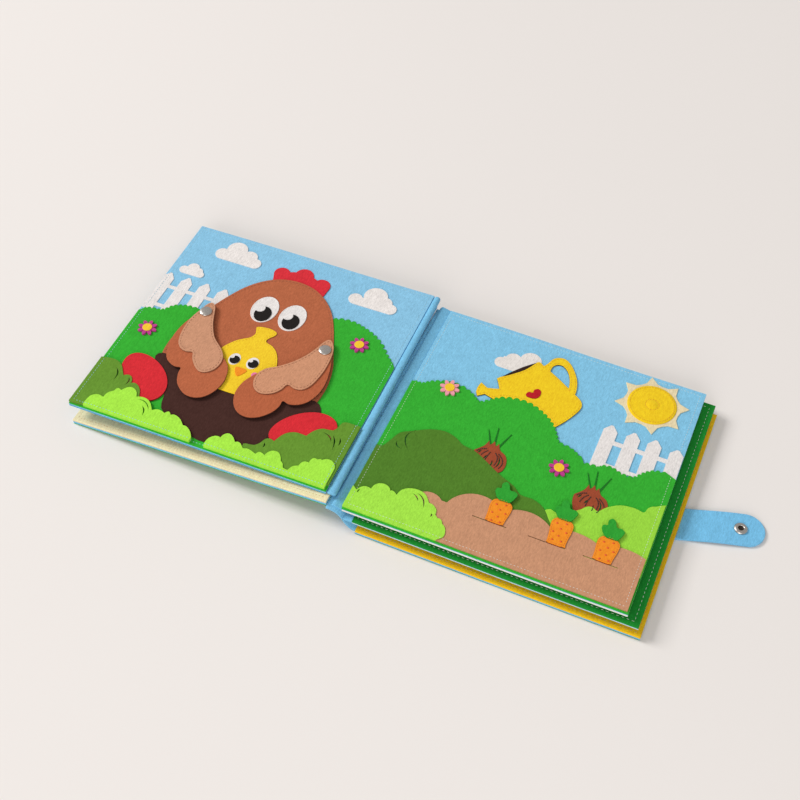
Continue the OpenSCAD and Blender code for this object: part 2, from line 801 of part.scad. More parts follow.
// pieces of the garden page
module garden_cloud() {
  color([0.93, 0.92, 0.90]) {
    on_garden_page() {
      felt(0, level1 / 2) {
        difference() {
          union() {
            lobes([[55.6, 175, 5.2], [63.6, 181.2, 6.3], [76.4, 185.2, 8.5]]);
            translate([55.6, 169.8]) {
              square([24, 12]);
            }
          }
          can_back_2d();
          can_handle_2d();
        }
      }
    }
  }
}

can_z0 = 0.4;
can_z1 = 1.0;
hill_z = 1.2;
module watering_can_back() {
  color([0.17, 0.07, 0.06]) {
    on_garden_page() {
      felt(0, can_z0) {
        can_back_2d();
      }
    }
  }
}

module watering_can() {
  color([0.97, 0.77, 0.12]) {
    on_garden_page() {
      felt(can_z0, can_z1) {
        can_front_2d();
      }
      felt(0, can_z0) {
        difference() {
          can_handle_2d();
          can_shape_2d();
          garden_hill_2d();
        }
      }
    }
  }
}

module can_heart() {
  color([0.78, 0.07, 0.14]) {
    on_garden_page() {
      felt(can_z1, can_z1 + thin_t) {
        heart_2d();
      }
    }
  }
}

module sun_rays() {
  color([0.93, 0.85, 0.66]) {
    on_garden_page() {
      felt(0, level1) {
        sun_rays_2d();
      }
    }
  }
}

sun_r = 18.8;
module sun_disc() {
  color([0.97, 0.77, 0.12]) {
    on_garden_page() {
      translate([174.7 * k, 181.7 * k, level1]) {
        cylinder(r = sun_r * k, h = felt_t, $fn = 64);
        translate([0, 0, felt_t]) {
          cylinder(r = 4.5 * k, h = thin_t, $fn = round_fn);
        }
      }
    }
  }
}

module garden_fence() {
  color([0.94, 0.94, 0.95]) {
    on_garden_page() {
      felt(0, level1) {
        garden_fence_2d();
      }
    }
  }
}

module garden_hill() {
  color([0.16, 0.62, 0.18]) {
    on_garden_page() {
      felt(0, hill_z) {
        garden_hill_2d();
      }
    }
  }
}

module flower(x, y, z) {
  translate([x * k, y * k, z]) {
    linear_extrude(flower_t * 0.7) {
      scale(k) {
        petals_2d();
      }
    }
  }
}

module flower_centre(x, y, z) {
  translate([x * k, y * k, z + flower_t * 0.7]) {
    cylinder(r = 3.8 * k, h = flower_t * 0.3, $fn = round_fn);
  }
}

module pink_flower() {
  color([0.95, 0.62, 0.68]) {
    on_garden_page() {
      flower(29.3, 133, hill_z);
    }
  }
}

module magenta_flower() {
  color([0.72, 0.18, 0.53]) {
    on_garden_page() {
      flower(129.3, 95.2, hill_z);
    }
  }
}

module garden_flower_centres() {
  color([0.97, 0.80, 0.12]) {
    on_garden_page() {
      flower_centre(29.3, 133, hill_z);
      flower_centre(129.3, 95.2, hill_z);
    }
  }
}

onion_z = hill_z + thin_t;
lime_hill_z = hill_z + felt_t;
module onion_stems() {
  color([0.05, 0.40, 0.12]) {
    on_garden_page() {
      felt(hill_z, onion_z) {
        difference() {
          onion_stems_2d();
          onions_2d();
        }
      }
    }
  }
}

module onions() {
  color([0.62, 0.27, 0.15]) {
    on_garden_page() {
      felt(hill_z, onion_z) {
        difference() {
          onions_2d();
          garden_olive_2d();
          garden_lime_hill_2d();
        }
      }
    }
  }
}

module garden_lime_hill() {
  color([0.58, 0.88, 0.20]) {
    on_garden_page() {
      felt(hill_z, lime_hill_z) {
        difference() {
          garden_lime_hill_2d();
          garden_olive_2d();
        }
      }
    }
  }
}

olive_z = lime_hill_z;
module garden_olive_bush() {
  color([0.29, 0.47, 0.11]) {
    on_garden_page() {
      felt(hill_z, olive_z) {
        garden_olive_2d();
      }
    }
  }
}

soil_z = lime_hill_z + felt_t;
module soil_pocket() {
  color([0.80, 0.58, 0.43]) {
    on_garden_page() {
      difference() {
        felt(hill_z, soil_z) {
          soil_2d();
        }
        felt(hill_z - cut, lime_hill_z) {
          garden_lime_hill_2d();
          garden_olive_2d();
        }
      }
    }
  }
}

carrot_z = soil_z + felt_t;
module carrots() {
  color([0.96, 0.52, 0.10]) {
    on_garden_page() {
      felt(soil_z, carrot_z) {
        carrots_2d();
      }
      felt(lime_hill_z, carrot_z) {
        carrot_tabs_2d();
      }
    }
  }
}

module carrot_tops() {
  color([0.18, 0.60, 0.20]) {
    on_garden_page() {
      felt(carrot_z, carrot_z + felt_t) {
        carrot_tops_2d();
      }
    }
  }
}

module garden_lime_bush() {
  color([0.66, 0.93, 0.27]) {
    on_garden_page() {
      difference() {
        felt(hill_z, soil_z + felt_t) {
          garden_lime_bush_2d();
        }
        felt(hill_z - cut, soil_z) {
          soil_outline_2d();
        }
        felt(hill_z - cut, olive_z) {
          garden_olive_2d();
        }
      }
    }
  }
}

// left half of the book
module front_cover() {
  color([0.42, 0.70, 0.87]) {
    on_front_cover() {
      translate([0, 0, meadow_t]) {
        cube([page_w, page_w, cover_t]);
      }
    }
  }
}

meadow_crest = [[0, 64], [24, 76], [52, 80], [78, 66], [104, 60], [132, 72], [160, 78], [186, 66], [210, 60]];
module front_cover_meadow() {
  color([0.16, 0.62, 0.18]) {
    on_front_cover() {
      felt(0, meadow_t) {
        polygon(concat([[0, 0]], open(meadow_crest, curve_n), [[art_w, 60], [art_w, 0]]));
      }
    }
  }
}

module front_cover_lining() {
  color([0.94, 0.87, 0.70]) {
    on_front_cover() {
      translate([0, 0, meadow_t + cover_t]) {
        cube([page_w, page_w, lining_t]);
      }
    }
  }
}

stud_x = 40;
stud_r = 5;
module snap_stud() {
  color([0.72, 0.72, 0.74]) {
    on_front_cover() {
      translate([stud_x, page_w * 0.46, meadow_t - 1.5]) {
        translate([0, 0, 1]) {
          cylinder(r = stud_r, h = 0.5, $fn = 64);
        }
        cylinder(r = snap_hole - 0.3, h = 1, $fn = round_fn);
      }
    }
  }
}

module hen_leaf_sky() {
  color([0.47, 0.74, 0.90]) {
    on_hen_page() {
      leaf(0, 0, 0, true);
    }
  }
}

module hen_leaf_back() {
  color([0.42, 0.70, 0.87]) {
    on_hen_page() {
      leaf(0, 0, 0, false);
    }
  }
}

ridge_w = 4;
ridge_r = sheet_t;
module hen_leaf_hinge_strip() {
  color([0.42, 0.70, 0.87]) {
    on_hen_page() {
      translate([page_w, 0, -2 * sheet_t]) {
        cube([ridge_w, page_w, 2 * sheet_t]);
      }
      translate([page_w + ridge_w, page_w, -ridge_r]) {
        rotate([90, 0, 0]) {
          cylinder(r = ridge_r, h = page_w, $fn = round_fn);
        }
      }
    }
  }
}

module hen_clouds() {
  color([0.94, 0.92, 0.89]) {
    on_hen_page() {
      felt(0, level1) {
        hen_clouds_2d();
      }
    }
  }
}

module hen_fence() {
  color([0.94, 0.94, 0.95]) {
    on_hen_page() {
      felt(0, thin_t) {
        hen_fence_2d();
      }
    }
  }
}

module hen_hill() {
  color([0.20, 0.66, 0.19]) {
    on_hen_page() {
      felt(0, level1) {
        hen_hill_2d();
      }
    }
  }
}

module hen_flowers() {
  color([0.72, 0.18, 0.53]) {
    on_hen_page() {
      flower(16.7, 88.7, level1);
      flower(176.3, 136.3, level1);
    }
  }
}

module hen_flower_centres() {
  color([0.97, 0.80, 0.12]) {
    on_hen_page() {
      flower_centre(16.7, 88.7, level1);
      flower_centre(176.3, 136.3, level1);
    }
  }
}

module comb() {
  color([0.87, 0.13, 0.22]) {
    on_hen_page() {
      felt(0, level1) {
        comb_2d();
      }
    }
  }
}

module hen_body() {
  color([0.70, 0.36, 0.21]) {
    on_hen_page() {
      difference() {
        felt(0, level2) {
          hen_body_2d();
        }
        felt(-cut, level1) {
          hen_hill_2d();
          comb_2d();
        }
      }
    }
  }
}

module nest() {
  color([0.24, 0.12, 0.10]) {
    on_hen_page() {
      felt(level1, level2) {
        nest_2d();
      }
    }
  }
}

module eye_whites() {
  color([0.95, 0.95, 0.95]) {
    on_hen_page() {
      felt(level2, level2 + thin_t) {
        eye_whites_2d();
      }
      felt(level3, level3 + thin_t / 2) {
        chick_eye_whites_2d();
      }
    }
  }
}

module pupils() {
  color([0.07, 0.06, 0.06]) {
    on_hen_page() {
      felt(level2 + thin_t, level2 + 2 * thin_t) {
        pupils_2d();
      }
      felt(level3 + thin_t / 2, level3 + thin_t) {
        chick_pupils_2d();
      }
    }
  }
}

module chick() {
  color([0.98, 0.82, 0.16]) {
    on_hen_page() {
      felt(level2, level3) {
        chick_2d();
      }
    }
  }
}

module chick_beak() {
  color([0.97, 0.60, 0.13]) {
    on_hen_page() {
      felt(level3, level3 + thin_t) {
        beak_2d();
      }
    }
  }
}

module chick_cheek() {
  color([0.95, 0.50, 0.62]) {
    on_hen_page() {
      felt(level3, level3 + thin_t / 2) {
        cheek_2d();
      }
    }
  }
}

module eggs() {
  color([0.83, 0.14, 0.18]) {
    on_hen_page() {
      difference() {
        felt(level1, level3) {
          eggs_2d();
        }
        felt(0, level2) {
          nest_2d();
        }
      }
    }
  }
}

module hen_olive_bushes() {
  color([0.33, 0.52, 0.14]) {
    on_hen_page() {
      difference() {
        felt(level1, level4) {
          hen_olive_2d();
        }
        felt(0, level3) {
          eggs_2d();
        }
        felt(0, level2) {
          nest_2d();
        }
      }
    }
  }
}

module hen_lime_bushes() {
  color([0.66, 0.93, 0.27]) {
    on_hen_page() {
      difference() {
        felt(level1, level5) {
          hen_lime_2d();
        }
        felt(0, level4) {
          hen_olive_2d();
        }
        felt(0, level3) {
          eggs_2d();
        }
        felt(0, level2) {
          nest_2d();
        }
      }
    }
  }
}

module wing_rivets() {
  color([0.72, 0.72, 0.74]) {
    on_hen_page() {
      for (p = [left_pivot, right_pivot]) {
        translate([p[0] * k, p[1] * k, level2]) {
          cylinder(r = rivet_r, h = wing_z - level2 + 2 * wing_t + wing_gap, $fn = round_fn);
          translate([0, 0, wing_z - level2 + 2 * wing_t + wing_gap]) {
            cylinder(r1 = rivet_d / 2, r2 = rivet_d / 2 - 0.8, h = rivet_head_t, $fn = 64);
          }
        }
      }
    }
  }
}

module left_wing() {
  color([0.70, 0.36, 0.21]) {
    on_hen_page() {
      felt_with_hole(left_wing_line, left_pivot, wing_z, wing_z + wing_t);
    }
  }
}

module left_wing_panel() {
  color([0.80, 0.58, 0.44]) {
    on_hen_page() {
      felt_with_hole(left_panel_line, left_pivot, wing_z + wing_t, wing_z + 2 * wing_t);
    }
  }
}

module right_wing() {
  color([0.70, 0.36, 0.21]) {
    on_hen_page() {
      felt_with_hole(right_wing_line, right_pivot, wing_z, wing_z + wing_t);
    }
  }
}

module right_wing_panel() {
  color([0.80, 0.58, 0.44]) {
    on_hen_page() {
      felt_with_hole(right_panel_line, right_pivot, wing_z + wing_t, wing_z + 2 * wing_t);
    }
  }
}

back_cover();
back_cover_lining();
spine();
green_leaf_front();
green_leaf_back();
green_leaf_hinge_strip();
garden_leaf_sky();
garden_leaf_back();
garden_leaf_hinge_strip();
closure_strap();
snap_socket();
garden_cloud();
watering_can_back();
watering_can();
can_heart();
sun_rays();
sun_disc();
garden_fence();
garden_hill();
pink_flower();
magenta_flower();
garden_flower_centres();
onion_stems();
onions();
garden_lime_hill();
garden_olive_bush();
soil_pocket();
carrots();
carrot_tops();
garden_lime_bush();
front_cover();
front_cover_meadow();
front_cover_lining();
snap_stud();
hen_leaf_sky();
hen_leaf_back();
hen_leaf_hinge_strip();
hen_clouds();
hen_fence();
hen_hill();
hen_flowers();
hen_flower_centres();
comb();
hen_body();
nest();
eye_whites();
pupils();
chick();
chick_beak();
chick_cheek();
eggs();
hen_olive_bushes();
hen_lime_bushes();
wing_rivets();
left_wing();
left_wing_panel();
right_wing();
right_wing_panel();
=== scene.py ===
"""A felt quiet book lies open on its hen page and its garden page, with its closing strap out to the right.

Everything is in metres in the frame of the CAD parts: X to the right across both pages, Y to the back, Z up.
"""

import json
import math

import bmesh
import bpy
from mathutils import Matrix, Vector
from mathutils.bvhtree import BVHTree


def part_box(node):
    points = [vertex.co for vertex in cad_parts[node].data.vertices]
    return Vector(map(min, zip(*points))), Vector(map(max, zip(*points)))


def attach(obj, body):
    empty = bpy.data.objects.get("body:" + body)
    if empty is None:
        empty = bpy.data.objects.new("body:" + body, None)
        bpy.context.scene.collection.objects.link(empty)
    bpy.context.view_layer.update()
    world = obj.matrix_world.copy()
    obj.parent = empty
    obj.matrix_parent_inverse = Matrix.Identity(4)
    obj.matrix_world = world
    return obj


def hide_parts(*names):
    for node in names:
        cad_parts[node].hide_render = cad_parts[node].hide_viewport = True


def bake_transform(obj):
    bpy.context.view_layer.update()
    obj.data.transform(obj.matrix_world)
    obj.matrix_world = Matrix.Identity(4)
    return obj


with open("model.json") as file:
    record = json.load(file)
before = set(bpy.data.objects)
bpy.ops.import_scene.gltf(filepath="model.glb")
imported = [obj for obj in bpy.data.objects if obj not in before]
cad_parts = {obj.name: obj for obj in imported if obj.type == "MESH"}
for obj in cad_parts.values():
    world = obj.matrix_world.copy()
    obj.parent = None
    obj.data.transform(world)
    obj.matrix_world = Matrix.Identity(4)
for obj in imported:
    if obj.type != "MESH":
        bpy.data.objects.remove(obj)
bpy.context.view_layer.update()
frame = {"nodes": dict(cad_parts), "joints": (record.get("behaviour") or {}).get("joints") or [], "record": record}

MM = 0.001
UP = Vector((0, 0, 1))
RECORD = frame["record"]
BODY_OF = {node: body for body, nodes in RECORD["behaviour"]["bodies"].items() for node in nodes}
SLOT_OF = {part["node"]: part["material_slot"] for part in RECORD["subparts"]}
JOINTS = {joint["name"]: joint for joint in frame["joints"]}
FOLD = Vector(JOINTS["front_cover_fold"]["pos_m"])

# the photograph's camera: its angles in degrees, its place, and its focal length in pixels of an 800 pixel picture
CAMERA_AZIMUTH = 20.868
CAMERA_ELEVATION = 50.696
CAMERA_ROLL = 2.727
CAMERA_PLACE = Vector((0.10116, -0.56825, 0.77049))
FOCAL_PIXELS = 1292.85
PICTURE_PIXELS = 800

# how the hen page lies on the raised front cover, in degrees
HEN_YAW = 0.5
HEN_TILT = 1.3

# felt
SOFT_EDGE = 0.28 * MM
NET = 10 * MM
# felt fibres lie along this turn and square to it
FIBRE_TURN = math.radians(38)
# a face steeper than this belongs to a cut edge
WALL_NORMAL = 0.6
# steps round a turned piece
TURNED_STEPS = 40
# thread
STITCH = 1.6 * MM
STITCH_GAP = 0.9 * MM
THREAD = 0.36 * MM
# steps from one stitch to the next, and how high above the page a stitch is dropped from
STITCH_STEPS = 8
NEEDLE_DROP = 30 * MM


# Colours and materials.
def srgb(red, green, blue):
    """A colour as read off the felt, in the linear values that Blender takes."""
    def linear(value):
        value /= 255
        return value / 12.92 if value <= 0.04045 else ((value + 0.055) / 1.055) ** 2.4
    return linear(red), linear(green), linear(blue), 1.0


FELT_COLOURS = {
    "sky_felt": (124, 194, 232), "pale_felt": (236, 231, 229), "yellow_felt": (255, 208, 30),
    "green_felt": (52, 177, 48), "dark_green_felt": (24, 142, 46), "olive_felt": (92, 140, 42),
    "lime_felt": (165, 228, 66), "tan_felt": (206, 150, 116), "cream_felt": (248, 230, 186),
    "brown_felt": (184, 103, 68), "dark_brown_felt": (72, 44, 38), "black_felt": (28, 24, 22),
    "red_felt": (218, 42, 52), "orange_felt": (255, 148, 36), "pink_felt": (248, 132, 178),
}
NODE_COLOURS = {
    "garden_leaf_sky": (134, 200, 234), "hen_leaf_sky": (140, 199, 232), "hen_leaf_back": (84, 172, 216),
    "garden_olive_bush": (82, 130, 38), "hen_olive_bushes": (103, 150, 46), "hen_lime_bushes": (170, 238, 72),
    "garden_lime_bush": (168, 234, 74), "garden_lime_hill": (158, 222, 66), "soil_pocket": (204, 149, 115),
    "can_heart": (190, 26, 38), "comb": (219, 46, 58), "chick": (255, 208, 42), "sun_rays": (236, 220, 180),
    "watering_can_back": (52, 30, 26), "carrot_tops": (46, 164, 50), "onions": (160, 74, 46),
    "onion_stems": (26, 116, 34), "left_wing": (186, 102, 67), "right_wing": (184, 99, 64),
    "left_wing_panel": (206, 150, 118), "right_wing_panel": (208, 149, 115), "hen_clouds": (238, 232, 229),
    "garden_cloud": (234, 228, 223), "nest": (68, 38, 32), "green_leaf_back": (186, 220, 232),
    "garden_leaf_back": (252, 248, 238), "back_cover_lining": (255, 198, 26), "closure_strap": (122, 196, 238),
}


def new_material(name):
    made = bpy.data.materials.new(name)
    made.use_nodes = True
    nodes = made.node_tree.nodes
    return made, nodes, made.node_tree.links, nodes["Principled BSDF"]


def add_noise(nodes, links, place, scale, detail, roughness=0.6):
    noise = nodes.new("ShaderNodeTexNoise")
    noise.inputs["Scale"].default_value = scale
    noise.inputs["Detail"].default_value = detail
    noise.inputs["Roughness"].default_value = roughness
    links.new(place, noise.inputs["Vector"])
    return noise.outputs["Fac"]


def add_range(nodes, links, value, low, high, to_low, to_high):
    spread = nodes.new("ShaderNodeMapRange")
    for socket, number in (("From Min", low), ("From Max", high), ("To Min", to_low), ("To Max", to_high)):
        spread.inputs[socket].default_value = number
    links.new(value, spread.inputs["Value"])
    return spread.outputs["Result"]


def add_math(nodes, links, kind, first, second):
    sum_of = nodes.new("ShaderNodeMath")
    sum_of.operation = kind
    for socket, value in zip(sum_of.inputs, (first, second)):
        if isinstance(value, (int, float)):
            socket.default_value = value
        else:
            links.new(value, socket)
    return sum_of.outputs["Value"]


def add_tint(nodes, links, factor, colour, dark, light):
    """A colour that runs from its darker to its lighter shade as the factor goes from 0 to 1."""
    mix = nodes.new("ShaderNodeMix")
    mix.data_type = "RGBA"
    links.new(factor, mix.inputs["Factor"])
    mix.inputs["A"].default_value = tuple(min(1, c * dark) for c in colour[:3]) + (1,)
    mix.inputs["B"].default_value = tuple(min(1, c * light + 0.02 * (light - 1)) for c in colour[:3]) + (1,)
    return mix.outputs["Result"]


def felt_material(name, colour):
    """Needled felt: short fibres lying every way, thicker and thinner patches, and a soft nap."""
    made, nodes, links, shader = new_material(name)
    place = nodes.new("ShaderNodeTexCoord").outputs["Object"]
    turned = nodes.new("ShaderNodeMapping")
    crossed = nodes.new("ShaderNodeMapping")
    for mapping, turn in ((turned, FIBRE_TURN), (crossed, FIBRE_TURN - math.pi / 2)):
        mapping.inputs["Rotation"].default_value = (0, 0, turn)
        mapping.inputs["Scale"].default_value = (1.0, 0.34, 1.0)
        links.new(place, mapping.inputs["Vector"])
    patches = add_noise(nodes, links, place, 110, 3, 0.6)
    fibres = add_noise(nodes, links, turned.outputs["Vector"], 900, 3, 0.75)
    cross_fibres = add_noise(nodes, links, crossed.outputs["Vector"], 1100, 3, 0.75)
    lying = add_math(nodes, links, "MAXIMUM", fibres, cross_fibres)
    blend = add_math(nodes, links, "ADD", add_math(nodes, links, "MULTIPLY", lying, 0.84),
                     add_math(nodes, links, "MULTIPLY", patches, 0.16))
    shade = add_range(nodes, links, blend, 0.42, 0.70, 0, 1)
    links.new(add_tint(nodes, links, shade, colour, 0.82, 1.16), shader.inputs["Base Color"])
    links.new(add_range(nodes, links, lying, 0.3, 0.8, 1.0, 0.86), shader.inputs["Roughness"])
    shader.inputs["Sheen Weight"].default_value = 0.06
    shader.inputs["Sheen Roughness"].default_value = 0.45
    shader.inputs["Specular IOR Level"].default_value = 0.15
    bump = nodes.new("ShaderNodeBump")
    bump.inputs["Strength"].default_value = 0.55
    bump.inputs["Distance"].default_value = 0.35 * MM
    links.new(lying, bump.inputs["Height"])
    links.new(bump.outputs["Normal"], shader.inputs["Normal"])
    return made


def thread_material(name, colour):
    """Twisted polyester thread."""
    made, nodes, links, shader = new_material(name)
    place = nodes.new("ShaderNodeTexCoord").outputs["Object"]
    plies = add_noise(nodes, links, place, 2600, 2)
    links.new(add_tint(nodes, links, add_range(nodes, links, plies, 0.35, 0.65, 0, 1), colour, 0.85, 1.06),
              shader.inputs["Base Color"])
    links.new(add_range(nodes, links, plies, 0.3, 0.7, 0.45, 0.65), shader.inputs["Roughness"])
    shader.inputs["Sheen Weight"].default_value = 0.1
    return made


def painted_wood_material(name, colour):
    """Thin plywood under satin paint, its grain just showing."""
    made, nodes, links, shader = new_material(name)
    place = nodes.new("ShaderNodeTexCoord").outputs["Object"]
    along = nodes.new("ShaderNodeMapping")
    along.inputs["Scale"].default_value = (1.0, 0.12, 1.0)
    links.new(place, along.inputs["Vector"])
    grain = add_noise(nodes, links, along.outputs["Vector"], 1500, 3)
    links.new(add_tint(nodes, links, add_range(nodes, links, grain, 0.35, 0.65, 0, 1), colour, 0.88, 1.08),
              shader.inputs["Base Color"])
    links.new(add_range(nodes, links, grain, 0.3, 0.7, 0.34, 0.5), shader.inputs["Roughness"])
    bump = nodes.new("ShaderNodeBump")
    bump.inputs["Strength"].default_value = 0.25
    bump.inputs["Distance"].default_value = 0.08 * MM
    links.new(grain, bump.inputs["Height"])
    links.new(bump.outputs["Normal"], shader.inputs["Normal"])
    return made


def metal_material(name, colour, low_rough, high_rough):
    """Pressed metal with a plated finish, rubbed a little dull in places."""
    made, nodes, links, shader = new_material(name)
    place = nodes.new("ShaderNodeTexCoord").outputs["Object"]
    rubs = add_noise(nodes, links, place, 1400, 3)
    links.new(add_tint(nodes, links, rubs, colour, 0.86, 1.05), shader.inputs["Base Color"])
    links.new(add_range(nodes, links, rubs, 0.35, 0.65, low_rough, high_rough), shader.inputs["Roughness"])
    shader.inputs["Metallic"].default_value = 1
    bump = nodes.new("ShaderNodeBump")
    bump.inputs["Strength"].default_value = 0.1
    bump.inputs["Distance"].default_value = 0.03 * MM
    links.new(rubs, bump.inputs["Height"])
    links.new(bump.outputs["Normal"], shader.inputs["Normal"])
    return made


felt_stock = {}


def felt_of(node):
    """The felt that a node is cut from."""
    colour = NODE_COLOURS.get(node) or FELT_COLOURS[SLOT_OF[node]]
    if colour not in felt_stock:
        felt_stock[colour] = felt_material("felt_" + node, srgb(*colour))
    return felt_stock[colour]


PALE_THREAD = thread_material("pale_thread", srgb(222, 230, 222))
SKY_THREAD = thread_material("sky_thread", srgb(170, 212, 228))
CREAM_THREAD = thread_material("cream_thread", srgb(214, 186, 136))
BROWN_THREAD = thread_material("brown_thread", srgb(150, 78, 48))
TAN_THREAD = thread_material("tan_thread", srgb(160, 104, 74))
YELLOW_THREAD = thread_material("yellow_thread", srgb(226, 170, 24))
RED_THREAD = thread_material("red_thread", srgb(228, 84, 30))
NICKEL = metal_material("nickel", srgb(206, 200, 194), 0.24, 0.42)
SOCKET_SHADE_METAL = metal_material("socket_shade_metal", srgb(74, 66, 60), 0.4, 0.6)
GOLD_THREAD = thread_material("gold_thread", srgb(222, 160, 14))
ORANGE_THREAD = thread_material("orange_thread", srgb(224, 104, 24))
EYE_THREAD = thread_material("eye_thread", srgb(252, 250, 248))
# the black serves for the onions' real stripes and, as painted shade, for their cuts; the forest green is painted
# shade in the bushes' cuts
BLACK_STRIPE_AND_CUT_SHADE = thread_material("black_stripe_and_cut_shade", srgb(34, 20, 16))
FOREST_CUT_SHADE = thread_material("forest_cut_shade", srgb(22, 62, 14))


# Meshes.
def finish_piece(name, mesh, material, body, nodes=(), smooth=True):
    """Makes the object of a finished bmesh, with its material, body and the nodes that it stands for."""
    data = bpy.data.meshes.new(name)
    for face in mesh.faces:
        face.smooth = smooth
    mesh.to_mesh(data)
    mesh.free()
    piece = bpy.data.objects.new(name, data)
    bpy.context.scene.collection.objects.link(piece)
    data.materials.append(material)
    if body:
        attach(piece, body)
    if nodes:
        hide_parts(*nodes)
    return piece


def weigh_normals(piece):
    """Flat faces stay flat to the eye and only the softened edges turn."""
    weighted = piece.modifiers.new("normals", "WEIGHTED_NORMAL")
    weighted.weight = 90


def node_mesh(node):
    """A node's solid, merged, with its flat faces whole again."""
    mesh = bmesh.new()
    mesh.from_mesh(frame["nodes"][node].data)
    bmesh.ops.remove_doubles(mesh, verts=mesh.verts, dist=0.004 * MM)
    bmesh.ops.dissolve_limit(mesh, angle_limit=math.radians(1.5), verts=mesh.verts, edges=mesh.edges)
    return mesh


def soften(mesh, width, segments=2):
    """Rounds every edge that turns by more than 45 degrees."""
    edges = [e for e in mesh.edges if e.is_manifold and e.calc_face_angle(0) > math.radians(45)]
    bmesh.ops.bevel(mesh, geom=edges, offset=width, segments=segments, profile=0.5, affect="EDGES", material=-1,
                    clamp_overlap=True)


def slice_mesh(mesh, height, normal):
    """Cuts a line into a mesh where the plane at a height along a normal passes."""
    bmesh.ops.bisect_plane(mesh, geom=mesh.verts[:] + mesh.edges[:] + mesh.faces[:], plane_co=normal * height,
                           plane_no=normal, dist=0.001 * MM)


def cut_net(mesh, step):
    """Cuts lines along X and Y into a mesh, so that it can follow a wave."""
    for axis in (Vector((1, 0, 0)), Vector((0, 1, 0))):
        reach = [v.co.dot(axis) for v in mesh.verts]
        low, high = min(reach), max(reach)
        for line in range(math.ceil(low / step), math.floor(high / step) + 1):
            if low + 0.1 * step < line * step < high - 0.1 * step:
                slice_mesh(mesh, line * step, axis)


def garden_wave(x, y):
    """How far the right half's felt rises at a place, because no felt lies dead flat."""
    return (0.24 * math.sin(x / 0.027 + 0.6) * math.cos(y / 0.036 + 0.4)
            + 0.20 * math.sin(x / 0.061 + y / 0.047 + 1.1)) * MM


def hen_wave(x, y):
    """The left half's wave, which nests in the right half's when the book closes."""
    return -garden_wave(2 * FOLD.x - x, y)


def wave_of(node):
    return garden_wave if BODY_OF[node] == "back_half" else hen_wave


def ride_wave(mesh, wave):
    for vert in mesh.verts:
        vert.co.z += wave(vert.co.x, vert.co.y)


# Places on the pages.
def page_place(node, yaw=0.0, tilt=0.0):
    """Turns a place on a page, from its front left top corner, into a place in the book."""
    turn = Matrix.Rotation(math.radians(yaw), 4, "Z") @ Matrix.Rotation(math.radians(-tilt), 4, "Y")
    back = turn.inverted()
    corners = [back @ v.co for v in frame["nodes"][node].data.vertices]
    corner = Vector((min(c.x for c in corners), min(c.y for c in corners), max(c.z for c in corners)))
    return turn @ Matrix.Translation(corner)


GARDEN_PAGE = page_place("garden_leaf_sky")
HEN_PAGE = page_place("hen_leaf_sky", HEN_YAW, HEN_TILT)
GREEN_PAGE = page_place("green_leaf_front")
BACK_LINING = page_place("back_cover_lining")
COVER_TILT = math.degrees(math.asin(15.3 / 210))
FRONT_LINING = page_place("front_cover_lining", 0.0, COVER_TILT)
PAGE = 210 * MM


def on_page(place, points):
    """Places on a page given in millimetres as places in the book."""
    return [place @ Vector((u * MM, v * MM, 0)) for u, v in points]


# Felt pieces.
# colours painted on the visible cut edges of these pieces, darker than their felt: painted shade for the shade on
# their side walls and the thin shadows they cast, and at the watering can partly its real dark backing felt
EDGE_SHADE_COLOURS = {
    "watering_can": (44, 28, 18), "carrots": (150, 52, 18), "onions": (48, 24, 18), "left_wing": (104, 52, 34),
    "right_wing": (104, 52, 34), "left_wing_panel": (150, 100, 74), "right_wing_panel": (150, 100, 74),
    "hen_body": (126, 66, 42), "comb": (140, 22, 30), "chick": (176, 128, 24), "eggs": (130, 20, 26),
    "can_heart": (110, 12, 20), "carrot_tops": (24, 96, 28),
}


# X of the lines in millimetres at which the garden leaf's strip can bend, and of both strips' ends
STRIP_LINES = (-128, -116)
GARDEN_STRIP_END = -126.4 * MM
GREEN_STRIP_END = -115.3 * MM


def strip_rise(x):
    """The garden leaf's hinge strip climbs towards the roll of the hen leaf and drops away under it."""
    x /= MM
    return (min(0.27 * max(0.0, -117.5 - x), 1.9 - 1.2 * (-124.4 - x)) - 0.3) * MM


def bend_garden_strip(mesh):
    """Every millimetre of the strip's free end can bend."""
    for line in range(STRIP_LINES[0], STRIP_LINES[1]):
        slice_mesh(mesh, line * MM, Vector((1, 0, 0)))
    for vert in mesh.verts:
        vert.co.x = max(vert.co.x, GARDEN_STRIP_END)
        vert.co.z += strip_rise(vert.co.x)


def shorten_green_strip(mesh):
    """The green leaf's strip ends inside the spine's curve."""
    for vert in mesh.verts:
        vert.co.x = max(vert.co.x, GREEN_STRIP_END)


# how much of the garden leaf's thickness its back felt takes over from its sky felt
SHIFTED = 0.5 * MM


def thin_garden_sky(mesh):
    low = min(v.co.z for v in mesh.verts)
    for vert in mesh.verts:
        if vert.co.z < low + SHIFTED:
            vert.co.z += SHIFTED


def thicken_garden_back(mesh):
    high = max(v.co.z for v in mesh.verts)
    for vert in mesh.verts:
        if vert.co.z > high - SHIFTED:
            vert.co.z += SHIFTED


SHAPES = {"garden_leaf_hinge_strip": bend_garden_strip, "green_leaf_hinge_strip": shorten_green_strip,
          "garden_leaf_sky": thin_garden_sky, "garden_leaf_back": thicken_garden_back}
MEADOW_TEAL = felt_material("felt_back_meadow", srgb(20, 146, 112))


MEADOW_TOP = 0.8 * MM
MEADOW_BACK = -45.0 * MM


def lay_back_meadow(mesh):
    """The meadow on the outside of the back cover, a thin band of teal felt along its front."""
    for height, normal in ((MEADOW_TOP, Vector((0, 0, 1))), (MEADOW_BACK, Vector((0, 1, 0)))):
        slice_mesh(mesh, height, normal)
    for face in mesh.faces:
        spot = face.calc_center_median()
        if spot.z < MEADOW_TOP and spot.y < MEADOW_BACK:
            face.material_index = 1


